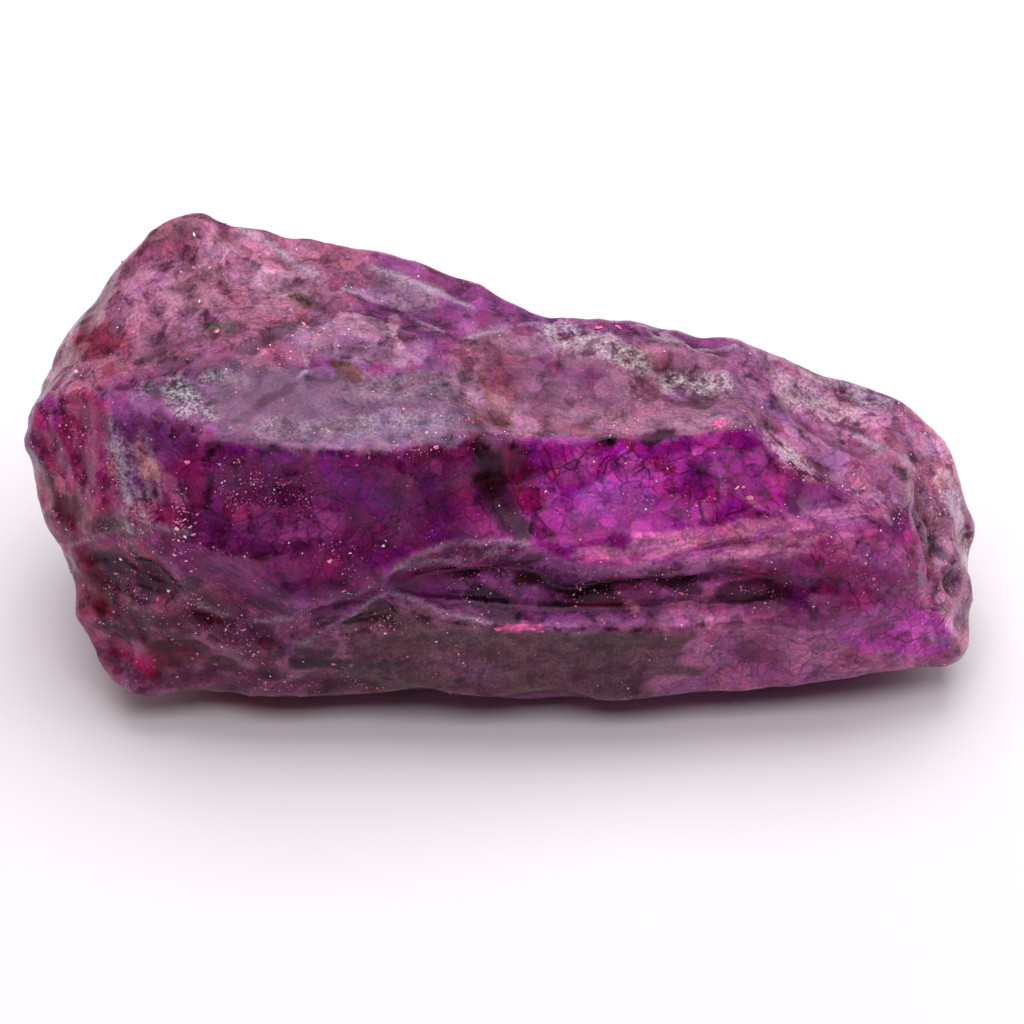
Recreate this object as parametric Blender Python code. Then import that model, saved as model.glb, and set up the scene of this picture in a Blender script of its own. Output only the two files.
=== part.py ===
"""Rough sapphire: one broken lump of violet corundum, lying on its flat cleavage foot.

The stone is a long block.  Its ridges run from the left tip to the right end, so the blank is
lofted between them.  Flakes are then struck off it, and its skin gets the lumps of broken corundum.
Row frame: +X along the stone, +Y to its back, +Z up, origin at the bottom centre of its box.
"""
import math

import bmesh
import bpy
from mathutils import Matrix, Vector, kdtree, noise
from mathutils.bvhtree import BVHTree

MM = 0.001

# Driving dimensions, in millimetres.
LENGTH = 60.0          # left tip to right end
STATION_STEP = 2.4     # spacing of the cross-sections along the stone

# The ridges of the blank, as (x, y, z) corners in millimetres, from the left tip to the right end.
# They go once round the stone: over the top, down the front, under the foot and up the back.
RIDGES = {
    "crest": [
        (-30.0, 3.0, 16.6), (-29.1, 3.5, 18.0), (-27.9, 5.5, 19.2), (-26.4, 7.5, 18.95),
        (-24.9, 9.0, 20.35), (-22.5, 10.0, 24.0), (-20.7, 10.5, 25.35), (-18.6, 11.0, 25.65),
        (-16.8, 10.8, 24.05), (-15.1, 10.5, 23.15), (-10.7, 10.0, 23.4), (-7.6, 9.5, 22.8),
        (-3.8, 9.0, 21.5), (-0.9, 8.0, 21.0), (1.4, 6.2, 20.4), (6.7, 6.2, 20.0), (12.7, 6.0, 18.65),
        (15.8, 6.0, 18.05), (19.2, 5.5, 16.25), (22.1, 5.0, 15.25), (26.0, 4.5, 14.9), (28.2, 2.5, 13.5),
        (30.6, -0.8, 10.6)],
    "roof": [
        (-30.0, 1.5, 17.0), (-27.6, 2.0, 19.3), (-24.0, 2.6, 21.8), (-19.0, 2.4, 23.6),
        (-12.0, -2.0, 23.0), (-5.0, -1.5, 22.6), (-1.0, 1.0, 21.6), (2.0, 1.6, 20.6), (9.0, 2.2, 20.3),
        (14.0, 1.8, 19.6), (18.5, 0.6, 17.6), (23.0, -1.0, 16.0), (26.4, -1.6, 14.2), (30.6, -2.2, 10.0)],
    "shoulder": [
        (-30.0, -0.3, 16.6), (-27.2, -1.5, 19.5), (-23.4, -4.5, 22.0), (-18.7, -7.0, 22.2),
        (-15.0, -7.5, 22.3), (-12.0, -7.8, 22.0), (-9.6, -8.0, 21.6), (-7.2, -7.8, 21.6),
        (-4.2, -7.2, 21.9), (-1.8, -6.5, 21.4), (0.1, -5.5, 20.0), (3.7, -5.0, 19.8), (8.7, -4.6, 19.9),
        (16.3, -4.2, 19.8), (18.3, -5.2, 17.3), (21.4, -6.0, 15.7), (25.1, -6.6, 14.3),
        (27.9, -6.2, 11.3), (30.6, -4.2, 9.0)],
    "bevel": [
        (-30.0, -1.2, 15.9), (-27.2, -3.0, 18.0), (-23.4, -6.6, 20.2), (-18.8, -9.0, 19.6),
        (-12.2, -10.0, 16.6), (-6.0, -9.8, 17.8), (-3.4, -9.2, 18.2), (0.1, -8.4, 17.6),
        (4.4, -9.6, 15.0), (8.7, -9.0, 15.6), (12.5, -8.6, 16.1), (16.3, -8.2, 16.9), (19.3, -8.4, 16.6),
        (22.3, -8.4, 15.6), (25.1, -8.2, 14.2), (27.8, -7.6, 10.6), (30.6, -5.4, 7.9)],
    "lip": [
        (-30.0, -1.8, 15.0), (-27.2, -4.5, 16.2), (-23.5, -8.0, 17.9), (-18.8, -10.5, 16.8),
        (-15.8, -11.3, 14.3), (-12.2, -11.8, 11.4), (-9.1, -11.7, 12.8), (-6.0, -11.2, 14.5),
        (-3.4, -10.6, 15.8), (0.1, -10.2, 15.5), (4.4, -10.2, 14.2), (6.3, -10.4, 13.6),
        (12.5, -10.0, 14.0), (22.2, -10.0, 14.2), (25.0, -9.6, 13.4), (27.8, -8.6, 10.2),
        (30.6, -6.8, 6.6)],
    "recess": [
        (-30.0, -2.2, 14.3), (-27.3, -5.5, 14.6), (-23.7, -9.3, 13.1), (-19.0, -11.0, 12.2),
        (-15.5, -11.5, 9.0), (-12.3, -11.6, 9.4), (-9.2, -11.4, 10.7), (-6.1, -10.8, 12.2),
        (-3.5, -10.4, 11.6), (0.1, -10.0, 11.0), (4.4, -9.8, 10.1), (12.6, -9.8, 10.8),
        (19.4, -10.2, 11.6), (25.2, -10.0, 10.6), (27.9, -9.0, 8.7), (30.6, -7.4, 5.7)],
    "apron": [
        (-30.0, -2.6, 13.5), (-27.3, -6.5, 12.9), (-23.9, -10.0, 9.4), (-19.2, -11.6, 8.4),
        (-15.5, -12.0, 7.3), (-12.3, -12.3, 8.6), (-9.8, -12.3, 10.5), (-6.8, -12.0, 13.1),
        (-4.7, -12.2, 12.0), (-0.9, -12.5, 11.0), (2.8, -12.4, 10.7), (11.7, -12.0, 11.7),
        (19.3, -11.4, 12.1), (22.3, -11.2, 11.5), (25.2, -10.6, 10.0), (27.9, -9.5, 7.9),
        (30.6, -8.0, 4.8)],
    "keel": [
        (-30.0, -2.8, 12.7), (-28.7, -4.5, 12.7), (-27.9, -6.0, 11.8), (-26.4, -7.6, 10.9),
        (-24.8, -10.0, 3.9), (-23.4, -10.8, 3.2), (-17.6, -11.8, 3.8), (-14.4, -12.0, 3.5),
        (-6.2, -12.2, 4.9), (-2.8, -12.4, 4.7), (1.0, -12.4, 3.1), (7.6, -12.2, 3.8), (18.3, -11.6, 3.8),
        (20.9, -11.2, 4.0), (22.1, -10.8, 4.6), (28.2, -9.8, 3.9), (30.6, -8.5, 3.4)],
    "foot_front": [
        (-30.0, -1.8, 12.2), (-26.0, -4.5, 6.5), (-20.0, -7.0, 1.0), (-18.0, -7.5, 0.0),
        (18.0, -7.5, 0.0), (21.0, -7.0, 0.8), (26.0, -6.5, 2.2), (29.0, -6.5, 3.2), (30.6, -7.0, 2.8)],
    "foot_back": [
        (-30.0, 0.6, 12.2), (-26.0, 3.0, 6.0), (-20.0, 5.0, 1.0), (-18.0, 5.0, 0.0), (18.0, 5.0, 0.0),
        (21.0, 4.5, 0.6), (26.0, 2.0, 2.2), (29.0, -2.0, 3.2), (30.6, -3.4, 3.2)],
    "back_low": [
        (-30.0, 2.6, 13.2), (-26.0, 8.0, 9.0), (-20.0, 11.0, 6.0), (-10.0, 11.5, 5.0), (0.0, 10.0, 4.5),
        (10.0, 9.5, 4.0), (20.0, 8.0, 3.5), (26.0, 6.0, 4.0), (29.0, 1.0, 4.5), (30.6, -1.8, 4.8)],
    "back": [
        (-30.0, 3.4, 15.0), (-26.0, 10.0, 14.0), (-20.0, 13.0, 15.0), (-10.0, 13.0, 13.0),
        (0.0, 11.5, 12.0), (10.0, 11.0, 11.5), (20.0, 10.0, 9.5), (26.0, 8.0, 8.5), (29.0, 3.0, 7.0),
        (30.6, -1.4, 7.6)],
}

# How sharp each ridge stays when the facets between the ridges are smoothed, from 0 to 1.
SHARPNESS = {
    "crest": 0.9, "roof": 0.2, "shoulder": 1.0, "bevel": 0.6, "lip": 1.0, "recess": 0.6, "apron": 0.9,
    "keel": 0.9, "foot_front": 0.6, "foot_back": 0.6, "back_low": 0.4, "back": 0.4}


# Flakes struck off the blank: the middle of the scar on the skin, its half length and half width, its
# depth, and the way it runs, in degrees up the skin from +X.  Each scar faces as the skin does there.
FLAKES = {
    "left_end": ((-26.4, -3.4, 18.4), (5.4, 4.2), 0.55, 80),
    "left_tip": ((-27.6, 4.0, 17.2), (2.8, 2.2), 0.25, 50),
    "left_low": ((-26.4, -7.6, 11.6), (3.6, 2.4), 0.55, 70),
    "pale_band": ((-21.7, -8.1, 18.9), (3.6, 1.9), 0.45, 75),
    "lobe_front": ((-20.4, 2.8, 23.0), (4.4, 4.6), 0.60, 20),
    "lobe_top": ((-14.6, 4.4, 22.9), (4.0, 3.4), 0.75, -15),
    "lobe_rim": ((-21.4, 8.2, 22.4), (2.8, 2.0), 0.40, 40),
    "back_slope": ((-11.9, 8.0, 22.5), (4.6, 1.8), 0.45, -8),
    "blue_flake": ((-6.2, 4.8, 22.0), (4.6, 2.4), 0.75, -25),
    "lavender": ((-10.6, -5.2, 22.2), (8.4, 2.7), 0.50, 3),
    "valley": ((-9.1, -1.4, 22.6), (4.8, 2.4), 0.80, 22),
    "saddle": ((-4.0, 1.8, 21.9), (3.4, 2.0), 0.55, 12),
    "right_roof": ((4.0, -2.0, 20.1), (5.4, 3.0), 0.55, 2),
    "highlight": ((11.9, 0.2, 19.8), (4.4, 2.4), 1.00, -12),
    "crest_scoop": ((12.4, 4.6, 18.8), (4.0, 1.3), 0.55, -5),
    "big_right": ((21.1, 0.5, 16.3), (5.2, 2.6), 1.15, -30),
    "far_right": ((23.4, 3.4, 15.0), (3.2, 1.3), 0.45, -10),
    "ridge_small": ((16.8, 2.0, 18.2), (2.4, 2.0), 0.45, 60),
    "under_ridge": ((20.0, -3.6, 16.8), (4.8, 1.9), 0.50, -30),
    "violet": ((-10.3, -9.3, 18.4), (8.8, 4.0), 0.50, -3),
    "violet_right": ((-2.6, -9.0, 18.2), (2.6, 3.6), 0.35, 80),
    "bright": ((6.8, -7.4, 17.3), (6.2, 3.2), 0.60, 0),
    "right_face": ((18.5, -7.0, 16.9), (5.2, 2.2), 0.50, -25),
    "pink_bevel": ((13.0, -9.3, 14.9), (8.0, 1.0), 0.35, 3),
    "striated": ((-15.6, -11.3, 12.6), (4.8, 2.2), 0.55, -52),
    "lens": ((-9.3, -11.4, 10.8), (2.6, 0.9), 1.20, 10),
    "ledge": ((-23.4, -9.4, 12.0), (4.6, 1.5), 1.30, -10),
    "seam_roof": ((-1.7, -2.6, 21.6), (4.4, 0.45), 0.60, 88),
    "seam_front": ((-0.8, -8.3, 18.4), (3.6, 0.60), 0.60, -72),
    "triangle": ((-10.2, -12.1, 5.2), (4.0, 1.3), 0.85, -10),
    "low_a": ((-24.1, -8.9, 11.8), (2.6, 1.9), 0.70, -35),
    "low_b": ((-21.4, -10.6, 12.4), (2.9, 1.5), 0.80, -12),
    "low_c": ((-18.4, -11.6, 6.8), (3.4, 2.0), 0.60, 20),
    "low_d": ((-22.4, -10.4, 7.2), (2.6, 1.8), 0.65, 55),
    "apron_a": ((-3.2, -12.3, 8.0), (4.4, 2.2), 0.50, -6),
    "apron_b": ((6.4, -12.3, 7.7), (5.4, 2.5), 0.50, 0),
    "apron_c": ((16.0, -11.7, 7.5), (4.4, 2.9), 0.55, 4),
    "apron_d": ((23.7, -10.8, 8.4), (4.0, 2.4), 0.45, 8),
    "apron_foot": ((2.4, -12.0, 3.2), (5.6, 1.2), 0.60, 4),
    "recess_left": ((-1.0, -10.4, 12.6), (4.4, 1.3), 1.10, -4),
    "recess_right": ((11.0, -10.2, 11.8), (7.0, 1.2), 1.20, 1),
    "back_a": ((-19.0, 12.6, 16.0), (7.5, 5.5), 1.30, 30),
    "back_b": ((-9.0, 12.8, 12.6), (8.0, 5.0), 1.30, -20),
    "back_c": ((3.0, 11.4, 10.4), (7.5, 5.5), 1.20, 15),
    "back_d": ((13.4, 10.8, 11.0), (7.0, 4.6), 1.20, -35),
    "back_e": ((22.2, 9.0, 9.0), (5.5, 4.2), 1.00, 10),
    "back_f": ((-14.6, 11.4, 5.4), (4.4, 2.2), 0.60, 6),
    "back_g": ((6.0, 9.8, 4.4), (5.8, 2.0), 0.60, -6),
    "back_h": ((-24.0, 10.6, 12.4), (5.0, 4.4), 1.00, 60),
    "back_i": ((26.6, 6.0, 9.6), (3.0, 2.4), 0.55, -50),
    "end_hollow": ((27.4, -5.4, 11.6), (5.4, 1.6), 1.30, -80),
    "end_cap": ((29.2, -4.0, 8.6), (3.6, 2.6), 0.50, -70),
    "under_left": ((-24.0, -1.0, 3.6), (4.6, 4.0), 0.70, 0),
    "under_right": ((24.6, -2.0, 1.8), (4.0, 3.4), 0.60, 0),
}

# Pits in the broken ends, as flakes are given, but deeper than they are wide.
PITS = {
    "pit_top": ((26.3, -4.6, 12.4), (1.4, 0.8), 1.3, 80),
    "pit_mid": ((28.2, -7.0, 9.0), (1.5, 1.0), 1.2, 30),
    "pit_low": ((28.9, -8.0, 6.9), (0.5, 0.5), 0.8, 0),
    "pit_lobe": ((-15.9, 3.2, 22.9), (0.9, 0.6), 0.5, 20),
    "pit_vein": ((-12.6, 4.6, 22.7), (1.3, 0.6), 0.5, -20),
}

SEED = 7               # keeps the stone the same each time
COLOUR = (0.245, 0.050, 0.165)  # linear red, green and blue
SCAR_ROUNDNESS = 3.0   # height of a scar's cutter over the depth that it cuts
SKIN_FACE = 0.32       # the skin's faces while it is roughened
TRIANGLES = 8800       # what the finished skin is made of
FOOT_HEIGHT = 0.70     # height at which the foot is cut flat

# The swells of the skin: the size of a swell and how far it stands out or in.
SWELLS = ((9.0, 0.35), (3.6, 0.18))
SCALLOP = 3.4          # spacing of the small hollows that cover the skin
SCALLOP_DEPTH = 0.38   # depth of a hollow below the crisp ridge around it
SCALLOP_LEAN = 0.16    # how far a hollow leans, as a slope
SCALLOP_SCATTER = 0.45  # how far a hollow strays from its even grid, over the spacing

# Where the skin is broken rough: middle, reach and how much of the full hollows shows there.
CALM = 0.28            # how much of them shows on the clean facets
ROUGH_ZONES = (
    ((-27.0, 3.0, 16.0), 9.0, 0.75), ((-21.5, -10.0, 8.5), 7.5, 1.25), ((-17.0, 6.0, 23.0), 8.0, 0.85),
    ((29.0, -5.0, 8.0), 5.5, 1.1), ((0.0, 13.0, 9.0), 16.0, 0.6), ((14.0, 5.0, 18.5), 6.0, 0.8),
    ((-5.0, 2.0, 22.0), 6.0, 0.6), ((0.0, 0.0, -6.0), 14.0, 1.0))


def clear_scene():
    for obj in list(bpy.data.objects):
        bpy.data.objects.remove(obj, do_unlink=True)


def new_object(name, bm):
    mesh = bpy.data.meshes.new(name)
    bm.to_mesh(mesh)
    bm.free()
    obj = bpy.data.objects.new(name, mesh)
    bpy.context.scene.collection.objects.link(obj)
    return obj


def evaluated_mesh(obj):
    """The object's mesh with its modifiers worked out."""
    graph = bpy.context.evaluated_depsgraph_get()
    return bpy.data.meshes.new_from_object(obj.evaluated_get(graph))


def ridge_at(corners, x):
    """The point of a ridge at x, on the straight line between its two nearest corners."""
    for (x0, y0, z0), (x1, y1, z1) in zip(corners, corners[1:]):
        if x <= x1:
            break
    t = min(max((x - x0) / (x1 - x0), 0.0), 1.0)
    return Vector((x, y0 + t * (y1 - y0), z0 + t * (z1 - z0)))


def lofted_blank():
    """The blank: a ring of ridge points at each station, bridged along the stone and closed at both ends."""
    first = min(corners[0][0] for corners in RIDGES.values())
    last = max(corners[-1][0] for corners in RIDGES.values())
    count = round((last - first) / STATION_STEP)
    bm = bmesh.new()
    crease = bm.edges.layers.float.new("crease_edge")
    rings = []
    for i in range(count + 1):
        x = first + (last - first) * i / count
        rings.append([bm.verts.new(ridge_at(corners, x) * MM) for corners in RIDGES.values()])
    for ring, following in zip(rings, rings[1:]):
        for j in range(len(ring)):
            k = (j + 1) % len(ring)
            bm.faces.new((ring[j], following[j], following[k], ring[k]))
    bm.faces.new(rings[0])
    bm.faces.new(reversed(rings[-1]))
    for ring, following in zip(rings, rings[1:]):
        for j, name in enumerate(RIDGES):
            bm.edges.get((ring[j], following[j]))[crease] = SHARPNESS[name]
    bmesh.ops.recalc_face_normals(bm, faces=bm.faces)
    blank = new_object("blank", bm)
    subdivision = blank.modifiers.new("facets", "SUBSURF")
    subdivision.levels = 2
    subdivision.render_levels = 2
    return blank


def scar_cutter(name, skin, scar):
    """A flat egg whose lower cap cuts the scar: it is rim-wide where it meets the skin."""
    place, (half_length, half_width), depth, run = scar
    spot, facing, _, _ = skin.find_nearest(Vector(place) * MM)
    height = SCAR_ROUNDNESS * depth
    spread = 1.0 / math.sqrt(1.0 - ((height - depth) / height) ** 2)
    along = (Vector((1, 0, 0)) - facing * facing.x).normalized()
    along = Matrix.Rotation(math.radians(run), 3, facing) @ along
    turn = Matrix((along, facing.cross(along), facing)).transposed().to_4x4()
    size = Matrix.Diagonal((half_length * spread, half_width * spread, height, 1.0 / MM)) * MM
    bm = bmesh.new()
    bmesh.ops.create_icosphere(bm, subdivisions=3, radius=1.0)
    middle = spot + facing * (height - depth) * MM
    bmesh.ops.transform(bm, matrix=Matrix.Translation(middle) @ turn @ size, verts=bm.verts)
    return new_object(name, bm)


def struck_flakes(blank):
    """The blank with every flake and pit cut out of it, as a new mesh."""
    skin = BVHTree.FromObject(blank, bpy.context.evaluated_depsgraph_get())
    cutters = bpy.data.collections.new("flake_cutters")
    bpy.context.scene.collection.children.link(cutters)
    for name, scar in {**FLAKES, **PITS}.items():
        cutter = scar_cutter("cut_" + name, skin, scar)
        cutter.hide_render = True
        cutter.display_type = "WIRE"
        bpy.context.scene.collection.objects.unlink(cutter)
        cutters.objects.link(cutter)
    strike = blank.modifiers.new("flakes", "BOOLEAN")
    strike.operand_type = "COLLECTION"
    strike.collection = cutters
    strike.operation = "DIFFERENCE"
    strike.solver = "EXACT"
    return evaluated_mesh(blank)


def cut_foot(bm):
    """Cuts the underside flat, so that the stone lies on a face."""
    cut = bmesh.ops.bisect_plane(
        bm, geom=bm.verts[:] + bm.edges[:] + bm.faces[:], dist=1e-7,
        plane_co=(0.0, 0.0, FOOT_HEIGHT * MM), plane_no=(0.0, 0.0, -1.0), clear_outer=True)
    rim = [part for part in cut["geom_cut"] if isinstance(part, bmesh.types.BMEdge)]
    bmesh.ops.edgeloop_fill(bm, edges=rim)


def even_skin(bm):
    """The same solid with its skin in small even faces, fine enough to take the lumps."""
    obj = new_object("even", bm)
    remesh = obj.modifiers.new("even", "REMESH")
    remesh.mode = "VOXEL"
    remesh.voxel_size = SKIN_FACE * MM
    even = bmesh.new()
    even.from_mesh(evaluated_mesh(obj))
    return even


def keep_largest(bm):
    """Drops the crumbs that a cut leaves loose, so that the stone stays one body."""
    unseen = set(bm.verts)
    bodies = []
    while unseen:
        body = set()
        edge = {unseen.pop()}
        while edge:
            body |= edge
            edge = {e.other_vert(v) for v in edge for e in v.link_edges} - body
        unseen -= body
        bodies.append(body)
    bodies.sort(key=len)
    loose = [vert for body in bodies[:-1] for vert in body]
    bmesh.ops.delete(bm, geom=loose, context="VERTS")


def thinned(bm, triangles):
    """The same skin in about this many triangles: large ones on the flats, small ones on the edges."""
    bmesh.ops.triangulate(bm, faces=bm.faces)
    obj = new_object("thinned", bm)
    thin = obj.modifiers.new("thin", "DECIMATE")
    thin.ratio = triangles / len(obj.data.polygons)
    fewer = bmesh.new()
    fewer.from_mesh(evaluated_mesh(obj))
    return fewer


def scallop_seeds():
    """Middles of the small hollows, on a loose grid around the stone, each with a step and a lean."""
    noise.seed_set(SEED)
    seeds = []
    for i in range(-11, 12):
        for j in range(-6, 7):
            for k in range(-1, 10):
                stray = noise.random_unit_vector() * SCALLOP_SCATTER
                place = (Vector((i, j, k)) + stray) * SCALLOP
                step = (noise.random() - 0.5) * SCALLOP_DEPTH
                seeds.append((place, step, noise.random_unit_vector() * SCALLOP_LEAN))
    tree = kdtree.KDTree(len(seeds))
    for index, (place, _, _) in enumerate(seeds):
        tree.insert(place, index)
    tree.balance()
    return tree, seeds


def scallop_height(p, tree, seeds):
    """The lowest of the bowls around this place, so that neighbouring hollows meet in a crisp ridge."""
    heights = []
    for place, index, distance in tree.find_n(p, 5):
        _, step, lean = seeds[index]
        bowl = SCALLOP_DEPTH * (2.0 * distance / SCALLOP) ** 2
        heights.append(bowl + step + lean.dot(p - place))
    return min(heights) - SCALLOP_DEPTH


def roughness_at(p):
    """How much of the full hollows shows at this place."""
    rough = CALM
    for middle, reach, most in ROUGH_ZONES:
        near = max(0.0, 1.0 - (p - Vector(middle)).length / reach)
        rough = max(rough, CALM + (most - CALM) * min(1.0, 2.0 * near))
    return rough


def roughen(bm):
    """Moves the skin in and out by its swells and its small hollows."""
    tree, seeds = scallop_seeds()
    bm.normal_update()
    shifts = []
    for vert in bm.verts:
        p = vert.co / MM
        shift = sum(depth * noise.noise(p / size) for size, depth in SWELLS)
        shift += scallop_height(p, tree, seeds) * roughness_at(p)
        shifts.append(vert.normal * shift * MM)
    for vert, shift in zip(bm.verts, shifts):
        vert.co += shift


def fit_to_frame(bm):
    """Sizes the stone to its length and puts the bottom centre of its box at the origin."""
    xs, ys, zs = zip(*(vert.co for vert in bm.verts))
    scale = LENGTH * MM / (max(xs) - min(xs))
    middle = Vector(((max(xs) + min(xs)) / 2, (max(ys) + min(ys)) / 2, min(zs)))
    bmesh.ops.translate(bm, vec=-middle, verts=bm.verts)
    bmesh.ops.scale(bm, vec=(scale, scale, scale), verts=bm.verts)


def violet_corundum():
    """Deep violet stone with the soft gloss of a fresh break."""
    material = bpy.data.materials.new("violet_corundum")
    material.use_nodes = True
    shader = material.node_tree.nodes["Principled BSDF"]
    shader.inputs["Base Color"].default_value = (*COLOUR, 1.0)
    shader.inputs["Roughness"].default_value = 0.42
    shader.inputs["Metallic"].default_value = 0.0
    return material


def main():
    clear_scene()
    bm = bmesh.new()
    bm.from_mesh(struck_flakes(lofted_blank()))
    bm = even_skin(bm)
    roughen(bm)
    bm = thinned(bm, TRIANGLES)
    cut_foot(bm)
    keep_largest(bm)
    fit_to_frame(bm)
    clear_scene()
    stone = new_object("sapphire", bm)
    stone.data.materials.append(violet_corundum())


main()
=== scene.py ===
# %% [markdown]
# # A rough sapphire, built around its imported solid
#
# The object is one broken lump of violet to magenta corundum, 60 mm long.  Its solid is already
# made and measured, and this lesson dresses it: a finer skin with the small relief of broken
# corundum, a stone material with its veins, crazing, frost and painted sheen, painted shade in its
# hollows and painted highlights on its edges and rims, and the crumbs that cling to it.
# The imported solid is loaded first and never moved, so every piece below shares its frame:
# +X along the stone, +Y to its back, +Z up, in metres.

# %% Load the imported stone
import math

import bmesh
import bpy
import numpy as np
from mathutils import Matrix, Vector, noise
from mathutils.bvhtree import BVHTree


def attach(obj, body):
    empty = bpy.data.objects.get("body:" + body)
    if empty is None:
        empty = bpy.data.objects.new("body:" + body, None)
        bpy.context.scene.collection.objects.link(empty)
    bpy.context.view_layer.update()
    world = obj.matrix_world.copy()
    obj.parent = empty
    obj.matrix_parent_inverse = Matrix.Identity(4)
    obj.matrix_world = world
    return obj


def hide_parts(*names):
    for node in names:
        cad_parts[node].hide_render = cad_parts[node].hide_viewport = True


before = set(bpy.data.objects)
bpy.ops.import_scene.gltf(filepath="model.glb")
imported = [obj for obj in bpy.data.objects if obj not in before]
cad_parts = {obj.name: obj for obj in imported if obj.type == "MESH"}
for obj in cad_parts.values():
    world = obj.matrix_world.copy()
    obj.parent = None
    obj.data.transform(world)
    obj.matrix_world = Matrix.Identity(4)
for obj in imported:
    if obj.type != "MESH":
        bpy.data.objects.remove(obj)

MM = 0.001
SEED = 11  # keeps every random draw the same each time
noise.seed_set(SEED)  # noise vectors start from the clock otherwise

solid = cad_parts["sapphire"]
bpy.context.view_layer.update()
corners = np.array([solid.matrix_world @ Vector(corner) for corner in solid.bound_box]) / MM
LOW, HIGH = corners.min(0), corners.max(0)
print("solid box in mm:", LOW.round(2), HIGH.round(2))

# %% [markdown]
# ## The camera
#
# The stone is seen from its long front side, from 45 degrees above, as a specimen on a table is.
# A long lens from about a quarter of a metre keeps its far end almost as large as its near one.

# %% Camera
CAMERA_TARGET = Vector((0.45, -2.175, 9.6)) * MM
CAMERA_DISTANCE = 258.5 * MM
CAMERA_ELEVATION = math.radians(45.0)
SENSOR = 36.0  # mm
LENS = 143.96  # mm

toward_camera = Vector((0.0, -math.cos(CAMERA_ELEVATION), math.sin(CAMERA_ELEVATION)))
camera_data = bpy.data.cameras.new("camera")
camera_data.sensor_width = SENSOR
camera_data.lens = LENS
camera_data.clip_start = 0.01
camera = bpy.data.objects.new("camera", camera_data)
camera.location = CAMERA_TARGET + toward_camera * CAMERA_DISTANCE
camera.rotation_mode = "QUATERNION"
camera.rotation_quaternion = toward_camera.to_track_quat("Z", "Y")
bpy.context.scene.collection.objects.link(camera)
bpy.context.scene.camera = camera
print("camera at", [round(c / MM, 1) for c in camera.location], "mm")

# %% [markdown]
# ## What a pixel falls on
#
# A mark on the side that the camera sees is placed by a pixel of the picture, across and down from
# its upper left corner: the ray through that pixel lands on the solid.  A mark on a hidden side is
# given in millimetres instead.

# %% From a pixel of the picture to a point of the solid
PICTURE = 1024  # pixels across
PIXEL = SENSOR / LENS / PICTURE  # slope between the rays through two neighbouring pixels
ACROSS = Vector((1.0, 0.0, 0.0))
UPWARD = toward_camera.cross(ACROSS)
solid_tree = BVHTree.FromPolygons(
    [solid.matrix_world @ vertex.co for vertex in solid.data.vertices],
    [tuple(face.vertices) for face in solid.data.polygons])


def seen_at(x, y):
    """The point of the solid that the camera sees at a pixel, in mm."""
    ray = (ACROSS * (x - PICTURE / 2) + UPWARD * (PICTURE / 2 - y)) * PIXEL - toward_camera
    return np.array(solid_tree.ray_cast(camera.location, ray)[0]) / MM


def on_stone(spot):
    """A place in mm: two numbers are a pixel of the picture, and three are millimetres already."""
    return seen_at(*spot) if len(spot) == 2 else np.array(spot)


print("the middle of the picture falls on", on_stone((PICTURE / 2, PICTURE / 2)).round(1), "mm")

# %% [markdown]
# ## Two small helpers
#
# Colours are written as the hex values that a paint program shows.  A shader works in linear
# light, so one function turns them.  A second function adds a node with its settings and its
# links in one call, which keeps the node trees below short enough to read.

# %% Colour and node helpers
def linear(code):
    """An sRGB hex colour as linear red, green, blue and a full alpha."""
    parts = [int(code[i:i + 2], 16) / 255 for i in (1, 3, 5)]
    return (*(c / 12.92 if c <= 0.04045 else ((c + 0.055) / 1.055) ** 2.4 for c in parts), 1.0)


def add(tree, kind, inputs=None, **settings):
    """Adds a node.  inputs maps a socket's name or number to a value or to another node's output."""
    node = tree.nodes.new(kind)
    for name, value in settings.items():
        setattr(node, name, value)
    for name, value in (inputs or {}).items():
        if isinstance(value, bpy.types.NodeSocket):
            tree.links.new(value, node.inputs[name])
        else:
            node.inputs[name].default_value = value
    return node

# %% [markdown]
# ## Floor and light
#
# A specimen is usually laid on white paper under large soft lamps.  Here two hang above the
# stone, one stands behind it, a weaker pair fills from the sides, and the camera's side is dim.
# Facets that lean back then mirror a lamp and look frosted, while those that face the camera
# mirror the dim room behind it and let the colour of the stone through.

# %% Floor, lamps and dim room
FLOOR_SIZE = 3.0         # metres across
FLOOR_DROP = 0.00002     # metres below the foot, so that the two share no face
FLOOR_WHITE = "#F2F1F4"
ROOM_COLOUR = "#FFC8C4"  # the dim room is warm
ROOM_LIGHT = 0.07        # its radiance
LAMPS = {
    # name: (middle in metres, width, height, watts, colour); each faces the stone
    "above_front": ((0.0, -0.20, 0.55), 0.50, 0.25, 1.25, "#FFFDFF"),
    "above_behind": ((0.0, 0.20, 0.50), 0.50, 0.40, 2.40, "#FFFCFF"),
    "right": ((0.60, 0.10, 0.45), 0.50, 0.50, 1.42, "#FFFDFF"),
    "left": ((-0.60, 0.10, 0.45), 0.50, 0.50, 0.55, "#FFFDFF"),
    "behind": ((0.0, 0.80, 0.35), 1.20, 0.30, 0.70, "#FFFDFF"),
}


def paper_white():
    """Matt white paper: an even pale surface with a hardly visible tooth."""
    material = bpy.data.materials.new("white_paper")
    material.use_nodes = True
    shader = material.node_tree.nodes["Principled BSDF"]
    shader.inputs["Base Color"].default_value = linear(FLOOR_WHITE)
    shader.inputs["Roughness"].default_value = 0.9
    shader.inputs["Specular IOR Level"].default_value = 0.1
    return material


def lamp(name, place, width, height, watts, colour):
    data = bpy.data.lights.new(name, "AREA")
    data.shape = "RECTANGLE"
    data.size, data.size_y, data.energy = width, height, watts
    data.color = linear(colour)[:3]
    obj = bpy.data.objects.new(name, data)
    obj.location = place
    obj.rotation_mode = "QUATERNION"
    obj.rotation_quaternion = Vector(place).to_track_quat("Z", "Y")
    bpy.context.scene.collection.objects.link(obj)


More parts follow.
